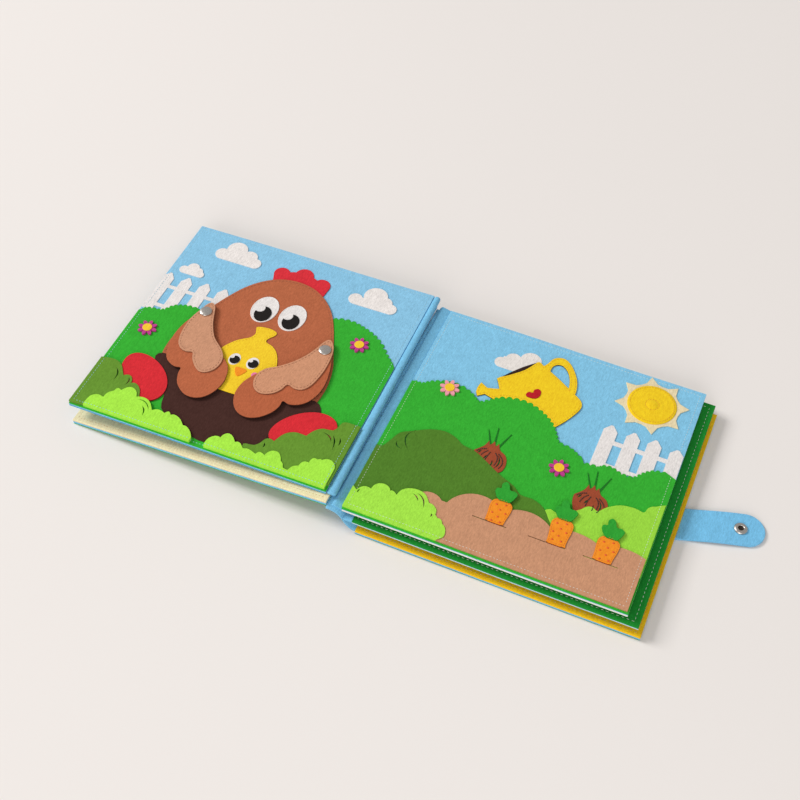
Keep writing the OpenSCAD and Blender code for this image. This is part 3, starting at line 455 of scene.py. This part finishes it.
def felt_piece(node, soft=SOFT_EDGE, net=NET):
    """A node as cut felt: its own outline with soft edges, lying in the waves of its half of the book."""
    mesh = node_mesh(node)
    soften(mesh, soft)
    walls = None
    # painted shade: the steep cut-edge faces of these pieces get a darker felt
    if node in EDGE_SHADE_COLOURS:
        walls = felt_material("shaded_edge_" + node, srgb(*EDGE_SHADE_COLOURS[node]))
        for face in mesh.faces:
            face.material_index = 1 if abs(face.normal.z) < WALL_NORMAL else 0
    if node == "back_cover":
        walls = MEADOW_TEAL
        lay_back_meadow(mesh)
    cut_net(mesh, net)
    if node in SHAPES:
        SHAPES[node](mesh)
    ride_wave(mesh, wave_of(node))
    piece = finish_piece(node + "_felt", mesh, felt_of(node), BODY_OF[node], [node])
    if walls:
        piece.data.materials.append(walls)
    weigh_normals(piece)
    return piece


THIN_FELTS = {"garden_cloud": 0.14, "can_heart": 0.18, "hen_fence": 0.18, "chick_beak": 0.18, "chick_cheek": 0.1,
              "eye_whites": 0.1, "pupils": 0.1, "onion_stems": 0.15, "onions": 0.15, "watering_can_back": 0.2}
WOODEN = ("pink_flower", "magenta_flower", "hen_flowers", "garden_flower_centres", "hen_flower_centres")
METAL = ("snap_socket", "snap_stud", "wing_rivets")
SHAPED = ("spine", "sun_disc", "closure_strap", "hen_leaf_hinge_strip")


def cut_all_felt():
    pieces = {}
    for node in frame["nodes"]:
        if node in WOODEN + METAL + SHAPED:
            continue
        soft = THIN_FELTS.get(node, 0.28) * MM
        pieces[node] = felt_piece(node, soft)
    return pieces


# Thread.
def lying_surface(pieces):
    """What thread can lie on: the surfaces of some pieces, all at once."""
    points, faces = [], []
    for piece in pieces:
        first = len(points)
        points += [v.co.copy() for v in piece.data.vertices]
        faces += [[first + i for i in face.vertices] for face in piece.data.polygons]
    return BVHTree.FromPolygons(points, faces)


def walk(points, step):
    """Places a step apart along a line of points."""
    places, left = [points[0].copy()], step
    for start, end in zip(points, points[1:]):
        length = (end - start).length
        done = 0.0
        while length - done >= left:
            done += left
            places.append(start.lerp(end, done / length))
            left = step
        left -= length - done
    return places


def sew(name, runs, surface, place, thread, body, stitch=STITCH, gap=STITCH_GAP, width=THREAD, wanted=None):
    """Thread along runs of points: each stitch is a short bulging bead that dips into the felt at both ends."""
    up = (place.to_3x3() @ UP).normalized()
    mesh = bmesh.new()
    pitch = stitch + gap
    for run in runs:
        fine = walk(run, pitch / STITCH_STEPS)
        for first in range(0, len(fine) - STITCH_STEPS, STITCH_STEPS):
            last = first + round(STITCH_STEPS * stitch / pitch)
            ends = [surface.ray_cast(fine[i] + up * NEEDLE_DROP, -up)[0] for i in (first, last)]
            if None in ends or (wanted and not wanted(place.inverted() @ ends[0])):
                continue
            along = ends[1] - ends[0]
            bead = (Matrix.Translation((ends[0] + ends[1]) / 2 + up * 0.04 * MM)
                    @ along.to_track_quat("X", "Z").to_matrix().to_4x4()
                    @ Matrix.Diagonal((along.length / 2, width / 2, width * 0.42, 1)))
            bmesh.ops.create_uvsphere(mesh, u_segments=6, v_segments=4, radius=1, matrix=bead)
    return finish_piece(name, mesh, thread, body)


def inside_lines(node, inset, place, depth=0.2 * MM):
    """Lines a little inside the outlines of a node's top faces, down to a depth below its highest."""
    up = (place.to_3x3() @ UP).normalized()
    mesh = node_mesh(node)
    top = max(f.calc_center_median().dot(up) for f in mesh.faces)
    caps = [f for f in mesh.faces
            if f.normal.dot(up) > 0.98 and f.calc_center_median().dot(up) > top - depth]
    bmesh.ops.inset_region(mesh, faces=caps, thickness=inset, use_even_offset=True, use_boundary=True)
    caps = set(caps)
    rim = [e for e in mesh.edges if sum(f in caps for f in e.link_faces) == 1]
    lines = []
    unused = dict.fromkeys(rim)
    while unused:
        edge = next(iter(unused))
        del unused[edge]
        line = [edge.verts[0], edge.verts[1]]
        while True:
            following = [e for e in line[-1].link_edges if e in unused]
            if not following:
                break
            del unused[following[0]]
            line.append(following[0].other_vert(line[-1]))
        lines.append([v.co.copy() for v in line])
    mesh.free()
    return [line for line in lines if len(line) > 6]


def border(margin_left, margin_right, margin_front, margin_back, size=210.0):
    """The four straight rows of a page's edge seam, in page millimetres."""
    left, right, front, back = margin_left, size - margin_right, margin_front, size - margin_back
    return [[(left, front), (left, back)], [(left, back), (right, back)], [(right, back), (right, front)],
            [(right, front), (left, front)]]


def half_surface(felt, body):
    """What thread can lie on in one half of the book."""
    return lying_surface([felt[n] for n in felt if BODY_OF[n] == body])


def sew_pages(felt):
    garden, hen = half_surface(felt, "back_half"), half_surface(felt, "front_half")
    rows = [on_page(GARDEN_PAGE, row) for row in border(3.2, 4.0, 4.2, 3.6)]
    sew("garden_page_seam", rows, garden, GARDEN_PAGE, PALE_THREAD, "back_half")
    rows = [on_page(HEN_PAGE, row) for row in border(3.0, 3.4, 3.2, 3.4)]
    sew("hen_page_seam", rows, hen, HEN_PAGE, SKY_THREAD, "front_half", width=0.45 * MM)
    leaf = lying_surface([felt["green_leaf_front"]])
    rows = [on_page(GREEN_PAGE, row) for row in border(3.0, 4.0, 4.0, 4.0)]
    sew("green_leaf_seam", rows, leaf, GREEN_PAGE, PALE_THREAD, "back_half", 2.3 * MM, 1.3 * MM)
    lining = lying_surface([felt["back_cover_lining"]])
    rows = [on_page(BACK_LINING, row) for row in border(3.0, 3.0, 3.0, 3.0)]
    sew("back_lining_seam", rows, lining, BACK_LINING, CREAM_THREAD, "back_half", 2.3 * MM, 1.3 * MM)
    lining = lying_surface([felt["front_cover_lining"]])
    rows = [on_page(FRONT_LINING, row) for row in border(3.4, 3.4, 3.4, 3.4)]
    sew("front_lining_seam", rows, lining, FRONT_LINING, CREAM_THREAD, "front_half")

    def above_the_nest(spot):
        return spot.y > 66 * MM

    def on_the_hen(spot):
        return spot.y > 120 * MM

    sew("hen_outline_thread", inside_lines("hen_body", 1.9 * MM, HEN_PAGE), hen, HEN_PAGE, BROWN_THREAD,
        "front_half", 2.0 * MM, 0.9 * MM, 0.42 * MM, wanted=above_the_nest)
    sew("chick_outline_thread", inside_lines("chick", 1.5 * MM, HEN_PAGE), hen, HEN_PAGE, YELLOW_THREAD,
        "front_half", 1.7 * MM, 0.8 * MM, 0.38 * MM, wanted=above_the_nest)
    sew("eye_rims", inside_lines("eye_whites", 0.5 * MM, HEN_PAGE, 0.9 * MM), hen, HEN_PAGE, EYE_THREAD,
        "front_half", 1.2 * MM, 0.1 * MM, 0.6 * MM, wanted=on_the_hen)
    sew("can_outline_thread", inside_lines("watering_can", 1.4 * MM, GARDEN_PAGE), garden, GARDEN_PAGE,
        GOLD_THREAD, "back_half", 1.8 * MM, 0.8 * MM, 0.36 * MM)
    sew("carrot_outline_thread", inside_lines("carrots", 1.1 * MM, GARDEN_PAGE), garden, GARDEN_PAGE,
        ORANGE_THREAD, "back_half", 1.4 * MM, 0.6 * MM, 0.32 * MM)
    for side in ("left", "right"):
        panel = lying_surface([felt[side + "_wing_panel"]])
        sew(side + "_wing_thread", inside_lines(side + "_wing_panel", 1.7 * MM, HEN_PAGE), panel, HEN_PAGE,
            TAN_THREAD, side + "_wing_body", 2.0 * MM, 0.9 * MM, 0.42 * MM)


ONION_PLACES = ((79, 84.6), (158.4, 76.4))
GARDEN_ONION_CUTS = [((-6.7, 3.8), (-7.9, 2), (-8.8, 0)), ((-1.2, 1), (-2.3, -1), (-3.2, -3.4)),
                     ((3.2, -1.6), (3.9, -5), (3.2, -8.6)), ((5.6, 4.4), (8.8, -2.2), (6.6, -8.8))]
ONION_STRIPES = [((-2.6, 6.4), (-7.6, 4.4), (-10.6, 0.4)), ((-1.2, 6.0), (-5.2, 1.0), (-6.6, -5.0)),
                 ((0.2, 5.6), (-1.4, -1.0), (-1.6, -8.0)), ((2.0, 5.8), (6.6, 0.0), (5.0, -9.0)),
                 ((3.6, 6.2), (11.0, -0.6), (8.8, -9.4))]
GARDEN_LEAF_CUTS = [((43.5, 32.5), (50, 29.5), (53, 21.5)), ((41, 31), (45, 29.4), (47.5, 26)),
                    ((60, 20.6), (60.6, 19.2), (60.3, 17.4)), ((6, 19.5), (5.2, 17.6), (5, 15.5)),
                    ((19.6, 83), (17.2, 75.4), (22.7, 66.4)), ((12.6, 70), (14, 66.8), (18.2, 65))]
HEN_LEAF_CUTS = [((16, 43), (20, 38), (20.3, 31)), ((29.4, 38), (31.6, 34.6), (30.6, 29.5)),
                 ((187, 46.3), (193, 44.5), (195.5, 40.5)), ((194.5, 46.5), (198, 42), (199.5, 34)),
                 ((200, 47), (202, 43), (202, 39)), ((151.5, 21.5), (152.7, 19.2), (152.5, 16.5)),
                 ((46, 20.5), (54, 20.8), (60, 14)), ((53, 17), (56.6, 13.5), (58, 8))]


def bent(cut, shift=(0.0, 0.0)):
    """A line that bends through the three points of a cut."""
    (ax, ay), (bx, by), (cx, cy) = cut
    line = []
    for step in range(1, 12):
        t = step / 12
        first, middle, last = (1 - t) * (1 - 2 * t), 4 * t * (1 - t), t * (2 * t - 1)
        line.append((ax * first + bx * middle + cx * last + shift[0], ay * first + by * middle + cy * last + shift[1]))
    return line


def sew_cuts(felt):
    """Dark thread beads lie along each cut in the bushes and the onions, as painted shade for the dark inside the open
    cuts.
    """
    bushes = lying_surface([felt[n] for n in ("garden_olive_bush", "garden_lime_hill", "garden_lime_bush")])

    def not_covered(spot):
        return bushes.ray_cast(GARDEN_PAGE @ spot + UP * NEEDLE_DROP, -UP)[0] is None

    garden, hen = half_surface(felt, "back_half"), half_surface(felt, "front_half")
    # painted shade: dark beads along the open cuts of the onions and the bushes
    runs = [on_page(GARDEN_PAGE, bent(cut, at)) for cut in GARDEN_ONION_CUTS for at in ONION_PLACES]
    sew("onion_cut_shade", runs, garden, GARDEN_PAGE, BLACK_STRIPE_AND_CUT_SHADE, "back_half", 1.3 * MM, 0.0, 0.95 * MM)
    runs = [on_page(GARDEN_PAGE, bent(cut, at)) for cut in ONION_STRIPES for at in ONION_PLACES]
    sew("onion_stripes", runs, lying_surface([felt["onions"]]), GARDEN_PAGE, BLACK_STRIPE_AND_CUT_SHADE, "back_half", 1.4 * MM, 0.0,
        1.0 * MM, wanted=not_covered)
    sew("garden_cut_shade", [on_page(GARDEN_PAGE, bent(cut)) for cut in GARDEN_LEAF_CUTS], garden, GARDEN_PAGE,
        FOREST_CUT_SHADE, "back_half", 1.3 * MM, 0.0, 0.75 * MM)
    sew("hen_cut_shade", [on_page(HEN_PAGE, bent(cut)) for cut in HEN_LEAF_CUTS], hen, HEN_PAGE,
        FOREST_CUT_SHADE, "front_half", 1.3 * MM, 0.0, 0.75 * MM)


# Wood and metal.
def wooden_piece(node, colour):
    mesh = node_mesh(node)
    soften(mesh, 0.45 * MM, 3)
    ride_wave(mesh, wave_of(node))
    piece = finish_piece(node + "_wood", mesh, painted_wood_material("paint_" + node, srgb(*colour)),
                         BODY_OF[node], [node])
    weigh_normals(piece)
    return piece


def turned(name, profile, foot, axis, material, body, slot, nodes=()):
    """A pressed or turned piece: its profile of (radius, height) in millimetres, spun about an axis from its foot."""
    mesh = bmesh.new()
    verts = [mesh.verts.new((radius * MM, 0, height * MM)) for radius, height in profile]
    edges = [mesh.edges.new(pair) for pair in zip(verts, verts[1:])]
    bmesh.ops.spin(mesh, geom=verts + edges, cent=(0, 0, 0), axis=(0, 0, 1), dvec=(0, 0, 0),
                   angle=math.tau, steps=TURNED_STEPS, use_merge=True, use_duplicate=False)
    bmesh.ops.remove_doubles(mesh, verts=mesh.verts, dist=0.002 * MM)
    bmesh.ops.recalc_face_normals(mesh, faces=mesh.faces)
    stand = Matrix.Translation(foot) @ Vector(axis).to_track_quat("Z", "Y").to_matrix().to_4x4()
    mesh.transform(stand)
    return finish_piece(name, mesh, material, body, nodes)


RIVET_CAP = [(0, 1.25), (1.6, 1.24), (3.0, 1.16), (4.0, 0.98), (4.65, 0.68), (4.95, 0.3), (4.9, 0.05), (4.6, 0),
             (2.4, 0), (2.4, -4.0), (0, -4.0)]
SNAP_RING = [(2.1, 0.5), (2.1, 1.05), (2.35, 1.38), (2.8, 1.5), (3.5, 1.48), (4.2, 1.25), (4.75, 0.8), (5.0, 0.35),
             (5.0, 0), (2.1, 0), (2.1, 0.5)]
SNAP_CUP = [(0, 0.45), (1.0, 0.42), (1.7, 0.5), (2.15, 0.8), (2.15, 0.02), (0, 0.02)]


def make_metal():
    axis = Vector(JOINTS["left_wing_swivel"]["axis"])
    for side in ("left", "right"):
        pivot = Vector(JOINTS[side + "_wing_swivel"]["pos_m"])
        foot = pivot + axis * 2.3 * MM + UP * hen_wave(pivot.x, pivot.y)
        turned(side + "_wing_rivet", RIVET_CAP, foot, axis, NICKEL, "front_half", "snap_metal",
               ["wing_rivets"] if side == "left" else [])
    low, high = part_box("snap_socket")
    foot = Vector(((low.x + high.x) / 2, (low.y + high.y) / 2, low.z + strap_lift((low.x + high.x) / 2)))
    turned("snap_ring", SNAP_RING, foot, UP, NICKEL, "back_half", "snap_metal", ["snap_socket"])
    # painted shade: the socket's hole is drawn as a shallow cup of dark metal
    turned("snap_cup", SNAP_CUP, foot, UP, SOCKET_SHADE_METAL, "back_half", "snap_metal")
    stud = frame["nodes"]["snap_stud"]
    stud.data.materials.clear()
    stud.data.materials.append(NICKEL)


# Shaped felt.
def strap_lift(x):
    """The strap rises off the table between the cover and its tip."""
    low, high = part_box("closure_strap")
    along = max(0.0, min(1.0, (x - low.x) / (high.x - low.x)))
    return 1.1 * MM * math.sin(math.pi * along) ** 2


def make_strap():
    mesh = node_mesh("closure_strap")
    soften(mesh, 0.4 * MM)
    cut_net(mesh, 4 * MM)
    for vert in mesh.verts:
        vert.co.z += strap_lift(vert.co.x)
    piece = finish_piece("closure_strap_felt", mesh, felt_of("closure_strap"), "back_half",
                         ["closure_strap"])
    weigh_normals(piece)
    return piece


SUN_PROFILE = [(0, 1.55), (1.8, 1.5), (3.6, 1.3), (4.5, 0.92), (5.0, 0.8), (6.6, 0.98), (8.2, 0.94), (9.0, 0.74),
               (10.6, 0.92), (12.6, 0.92), (13.6, 0.72), (15.2, 0.88), (17.2, 0.84), (18.3, 0.7), (18.8, 0.4),
               (18.8, 0.05), (18.6, 0), (0, 0)]


def make_sun():
    """The sun's disc, quilted in rings round a raised middle."""
    low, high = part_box("sun_disc")
    foot = Vector(((low.x + high.x) / 2, (low.y + high.y) / 2, low.z))
    foot.z += garden_wave(foot.x, foot.y)
    disc = turned("sun_disc_felt", SUN_PROFILE, foot, UP, felt_of("sun_disc"), "back_half", "yellow_felt",
                  ["sun_disc"])
    surface = lying_surface([disc])
    rings = [[foot + radius * MM * Vector((math.cos(turn * math.tau / 90), math.sin(turn * math.tau / 90), 0))
              for turn in range(91)] for radius in (16.9, 5.2)]
    sew("sun_ring_thread", rings, surface, GARDEN_PAGE, GOLD_THREAD, "back_half", 1.5 * MM, 0.5 * MM, 0.5 * MM)


# outer face of the spine strip from the back cover's edge up to the front cover's, in millimetres of X and Z
SPINE_LINE = [(-105.0, 0.0), (-107.0, 0.1), (-109.2, 0.8), (-111.3, 2.1), (-113.1, 3.9), (-114.6, 6.0), (-116.0, 8.4),
              (-117.4, 10.6), (-119.0, 12.4), (-121.0, 13.7), (-123.4, 14.6), (-126.0, 15.1), (-128.5, 15.3)]
SPINE_THICKNESS = 1.6 * MM
SPINE_STEPS = 21
# section of the roll along the hen page's inner edge, in millimetres from the top of that edge
ROLL_LINE = [(0.05, -2.35), (3.2, -2.35), (4.2, -2.75), (5.1, -2.5), (5.6, -1.7), (5.6, -0.6), (5.0, 0.4), (3.9, 0.95),
             (2.7, 1.0), (1.6, 0.7), (0.8, 0.1), (0.4, -0.6), (0.05, -0.9)]
# how much wider the roll is at its front end than at its back end
ROLL_FRONT = 1.32


def make_roll():
    """The hen leaf's hinge, a strip rolled into a soft tube with rounded ends."""
    mesh = bmesh.new()
    verts = [mesh.verts.new(((210 + u) * MM, 0, z * MM)) for u, z in ROLL_LINE]
    edges = [mesh.edges.new(pair) for pair in zip(verts, verts[1:] + verts[:1])]
    middle = Vector((212.6 * MM, 0, -1.0 * MM))
    stations = [0.3, 0.7, 1.5, 3.0] + [10.0 * n for n in range(1, 21)] + [207.0, 208.5, 209.3, 209.7]
    sizes = [0.5, 0.8, 0.95, 1.0] + [1.0] * 20 + [1.0, 0.95, 0.8, 0.5]
    bmesh.ops.translate(mesh, verts=verts, vec=(0, stations[0] * MM, 0))
    bmesh.ops.scale(mesh, verts=verts, vec=(sizes[0], 1, sizes[0]), space=Matrix.Translation(-middle))
    bmesh.ops.edgenet_fill(mesh, edges=edges)
    for last, now in zip(range(len(stations)), range(1, len(stations))):
        grown = bmesh.ops.extrude_edge_only(mesh, edges=edges)["geom"]
        verts = [v for v in grown if isinstance(v, bmesh.types.BMVert)]
        edges = [e for e in grown if isinstance(e, bmesh.types.BMEdge)]
        bmesh.ops.translate(mesh, verts=verts, vec=(0, (stations[now] - stations[last]) * MM, 0))
        change = sizes[now] / sizes[last]
        bmesh.ops.scale(mesh, verts=verts, vec=(change, 1, change), space=Matrix.Translation(-middle))
    bmesh.ops.edgenet_fill(mesh, edges=edges)
    bmesh.ops.recalc_face_normals(mesh, faces=mesh.faces)
    for vert in mesh.verts:
        across = vert.co.x / MM - 210
        vert.co.x += across * MM * (ROLL_FRONT - 1) * (1 - vert.co.y / PAGE)
    mesh.transform(HEN_PAGE)
    ride_wave(mesh, hen_wave)
    return finish_piece("hen_leaf_hinge_roll", mesh, felt_of("hen_leaf_hinge_strip"), "front_half",
                        ["hen_leaf_hinge_strip"])


def make_spine():
    """The spine strip curls up from the back cover to the front cover."""
    low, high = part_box("spine")
    mesh = bmesh.new()
    verts = [mesh.verts.new((x * MM, low.y, z * MM)) for x, z in SPINE_LINE]
    edges = [mesh.edges.new(pair) for pair in zip(verts, verts[1:])]
    for _ in range(SPINE_STEPS):
        new = bmesh.ops.extrude_edge_only(mesh, edges=edges)["geom"]
        verts = [v for v in new if isinstance(v, bmesh.types.BMVert)]
        edges = [e for e in new if isinstance(e, bmesh.types.BMEdge)]
        bmesh.ops.translate(mesh, verts=verts, vec=(0, (high.y - low.y) / SPINE_STEPS, 0))
    bmesh.ops.subdivide_edges(mesh, edges=[e for e in mesh.edges if abs(e.verts[0].co.y - e.verts[1].co.y) < MM * 0.1],
                              cuts=1, use_grid_fill=True)
    bmesh.ops.recalc_face_normals(mesh, faces=mesh.faces)
    if sum((f.normal.z for f in mesh.faces)) < 0:
        bmesh.ops.reverse_faces(mesh, faces=mesh.faces)
    piece = finish_piece("spine_felt", mesh, felt_of("spine"), None, ["spine"])
    wall = piece.modifiers.new("thickness", "SOLIDIFY")
    wall.thickness = SPINE_THICKNESS
    wall.offset = 1
    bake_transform(piece)
    return piece


# the small stitches of a carrot, from the middle of its top
CARROT_DOTS = [(-3.6, -5), (2.8, -3.4), (0.2, -8.6), (4.8, -10.4), (-4.2, -12.6), (0.6, -14.8), (3.6, -18.6),
               (-2.6, -19.2)]
CARROTS = [(102.7, 51.4), (147, 53.6), (181.7, 52)]


def make_carrot_dots(felt):
    """The small stitches across each carrot."""
    surface = lying_surface([felt["carrots"]])
    runs = []
    for u, v in CARROTS:
        for du, dv in CARROT_DOTS:
            runs.append(on_page(GARDEN_PAGE, [(u + du - 0.9, v + dv - 0.2), (u + du + 1.4, v + dv + 0.3)]))
    sew("carrot_stitches", runs, surface, GARDEN_PAGE, RED_THREAD, "back_half", 1.9 * MM, 0.3 * MM, 1.25 * MM)


# Stage.
def make_camera():
    azimuth, elevation, roll = (math.radians(a) for a in (CAMERA_AZIMUTH, CAMERA_ELEVATION, CAMERA_ROLL))
    back = Vector((math.sin(azimuth) * math.cos(elevation), -math.cos(azimuth) * math.cos(elevation),
                   math.sin(elevation)))
    right = Vector((math.cos(azimuth), math.sin(azimuth), 0))
    up = back.cross(right)
    right, up = math.cos(roll) * right + math.sin(roll) * up, math.cos(roll) * up - math.sin(roll) * right
    data = bpy.data.cameras.new("camera")
    data.sensor_width = 36
    data.lens = FOCAL_PIXELS * data.sensor_width / PICTURE_PIXELS
    data.clip_start, data.clip_end = 0.01, 20
    camera = bpy.data.objects.new("camera", data)
    bpy.context.scene.collection.objects.link(camera)
    camera.matrix_world = Matrix((
        (right.x, up.x, back.x, CAMERA_PLACE.x), (right.y, up.y, back.y, CAMERA_PLACE.y),
        (right.z, up.z, back.z, CAMERA_PLACE.z), (0, 0, 0, 1)))
    bpy.context.scene.camera = camera


def make_floor():
    mesh = bmesh.new()
    bmesh.ops.create_grid(mesh, x_segments=2, y_segments=2, size=6)
    made, nodes, links, shader = new_material("table")
    place = nodes.new("ShaderNodeTexCoord").outputs["Object"]
    cast = add_noise(nodes, links, place, 1.4, 1)
    links.new(add_tint(nodes, links, cast, srgb(238, 233, 230), 0.985, 1.015), shader.inputs["Base Color"])
    shader.inputs["Roughness"].default_value = 0.9
    shader.inputs["Specular IOR Level"].default_value = 0.1
    floor = finish_piece("table_top", mesh, made, None)
    floor.data.transform(Matrix.Translation((-0.1, 0, -0.05 * MM)))


# each lamp's name, place and size in metres, and power in watts
LAMPS = (("window", (-5.6, 0.2, 4.35), 2.4, 325), ("wide_fill", (0.4, -4.0, 1.8), 2.6, 78))


def make_light():
    world = bpy.data.worlds.new("studio")
    bpy.context.scene.world = world
    world.use_nodes = True
    nodes, links = world.node_tree.nodes, world.node_tree.links
    nodes.clear()
    path = nodes.new("ShaderNodeLightPath")
    seen = nodes.new("ShaderNodeMath")
    seen.operation = "MAXIMUM"
    links.new(path.outputs["Is Camera Ray"], seen.inputs[0])
    links.new(path.outputs["Is Transmission Ray"], seen.inputs[1])
    lit = nodes.new("ShaderNodeBackground")
    lit.inputs["Color"].default_value = (1.0, 0.985, 0.97, 1)
    lit.inputs["Strength"].default_value = 0.44
    backdrop = nodes.new("ShaderNodeBackground")
    backdrop.inputs["Color"].default_value = srgb(238, 233, 230)
    backdrop.inputs["Strength"].default_value = 1
    mix = nodes.new("ShaderNodeMixShader")
    out = nodes.new("ShaderNodeOutputWorld")
    links.new(seen.outputs["Value"], mix.inputs[0])
    links.new(lit.outputs[0], mix.inputs[1])
    links.new(backdrop.outputs[0], mix.inputs[2])
    links.new(mix.outputs[0], out.inputs["Surface"])
    for name, place, size, power in LAMPS:
        data = bpy.data.lights.new(name, "AREA")
        data.shape = "SQUARE"
        data.size = size
        data.energy = power
        data.color = (1.0, 0.985, 0.965)
        lamp = bpy.data.objects.new(name, data)
        bpy.context.scene.collection.objects.link(lamp)
        lamp.location = place
        lamp.rotation_euler = (Vector((-0.1, 0, 0)) - Vector(place)).to_track_quat("-Z", "Y").to_euler()


# The book.
make_camera()
felt = cut_all_felt()
strap = make_strap()
spine = make_spine()
make_sun()
for node, colour in (("pink_flower", (240, 158, 172)), ("magenta_flower", (190, 48, 140)),
                     ("hen_flowers", (190, 48, 140)), ("garden_flower_centres", (248, 202, 32)),
                     ("hen_flower_centres", (248, 202, 32))):
    wooden_piece(node, colour)
make_metal()
sew_pages(felt)
make_carrot_dots(felt)
sew_cuts(felt)
make_roll()
make_floor()
make_light()
bpy.context.scene.view_settings.view_transform = "Standard"
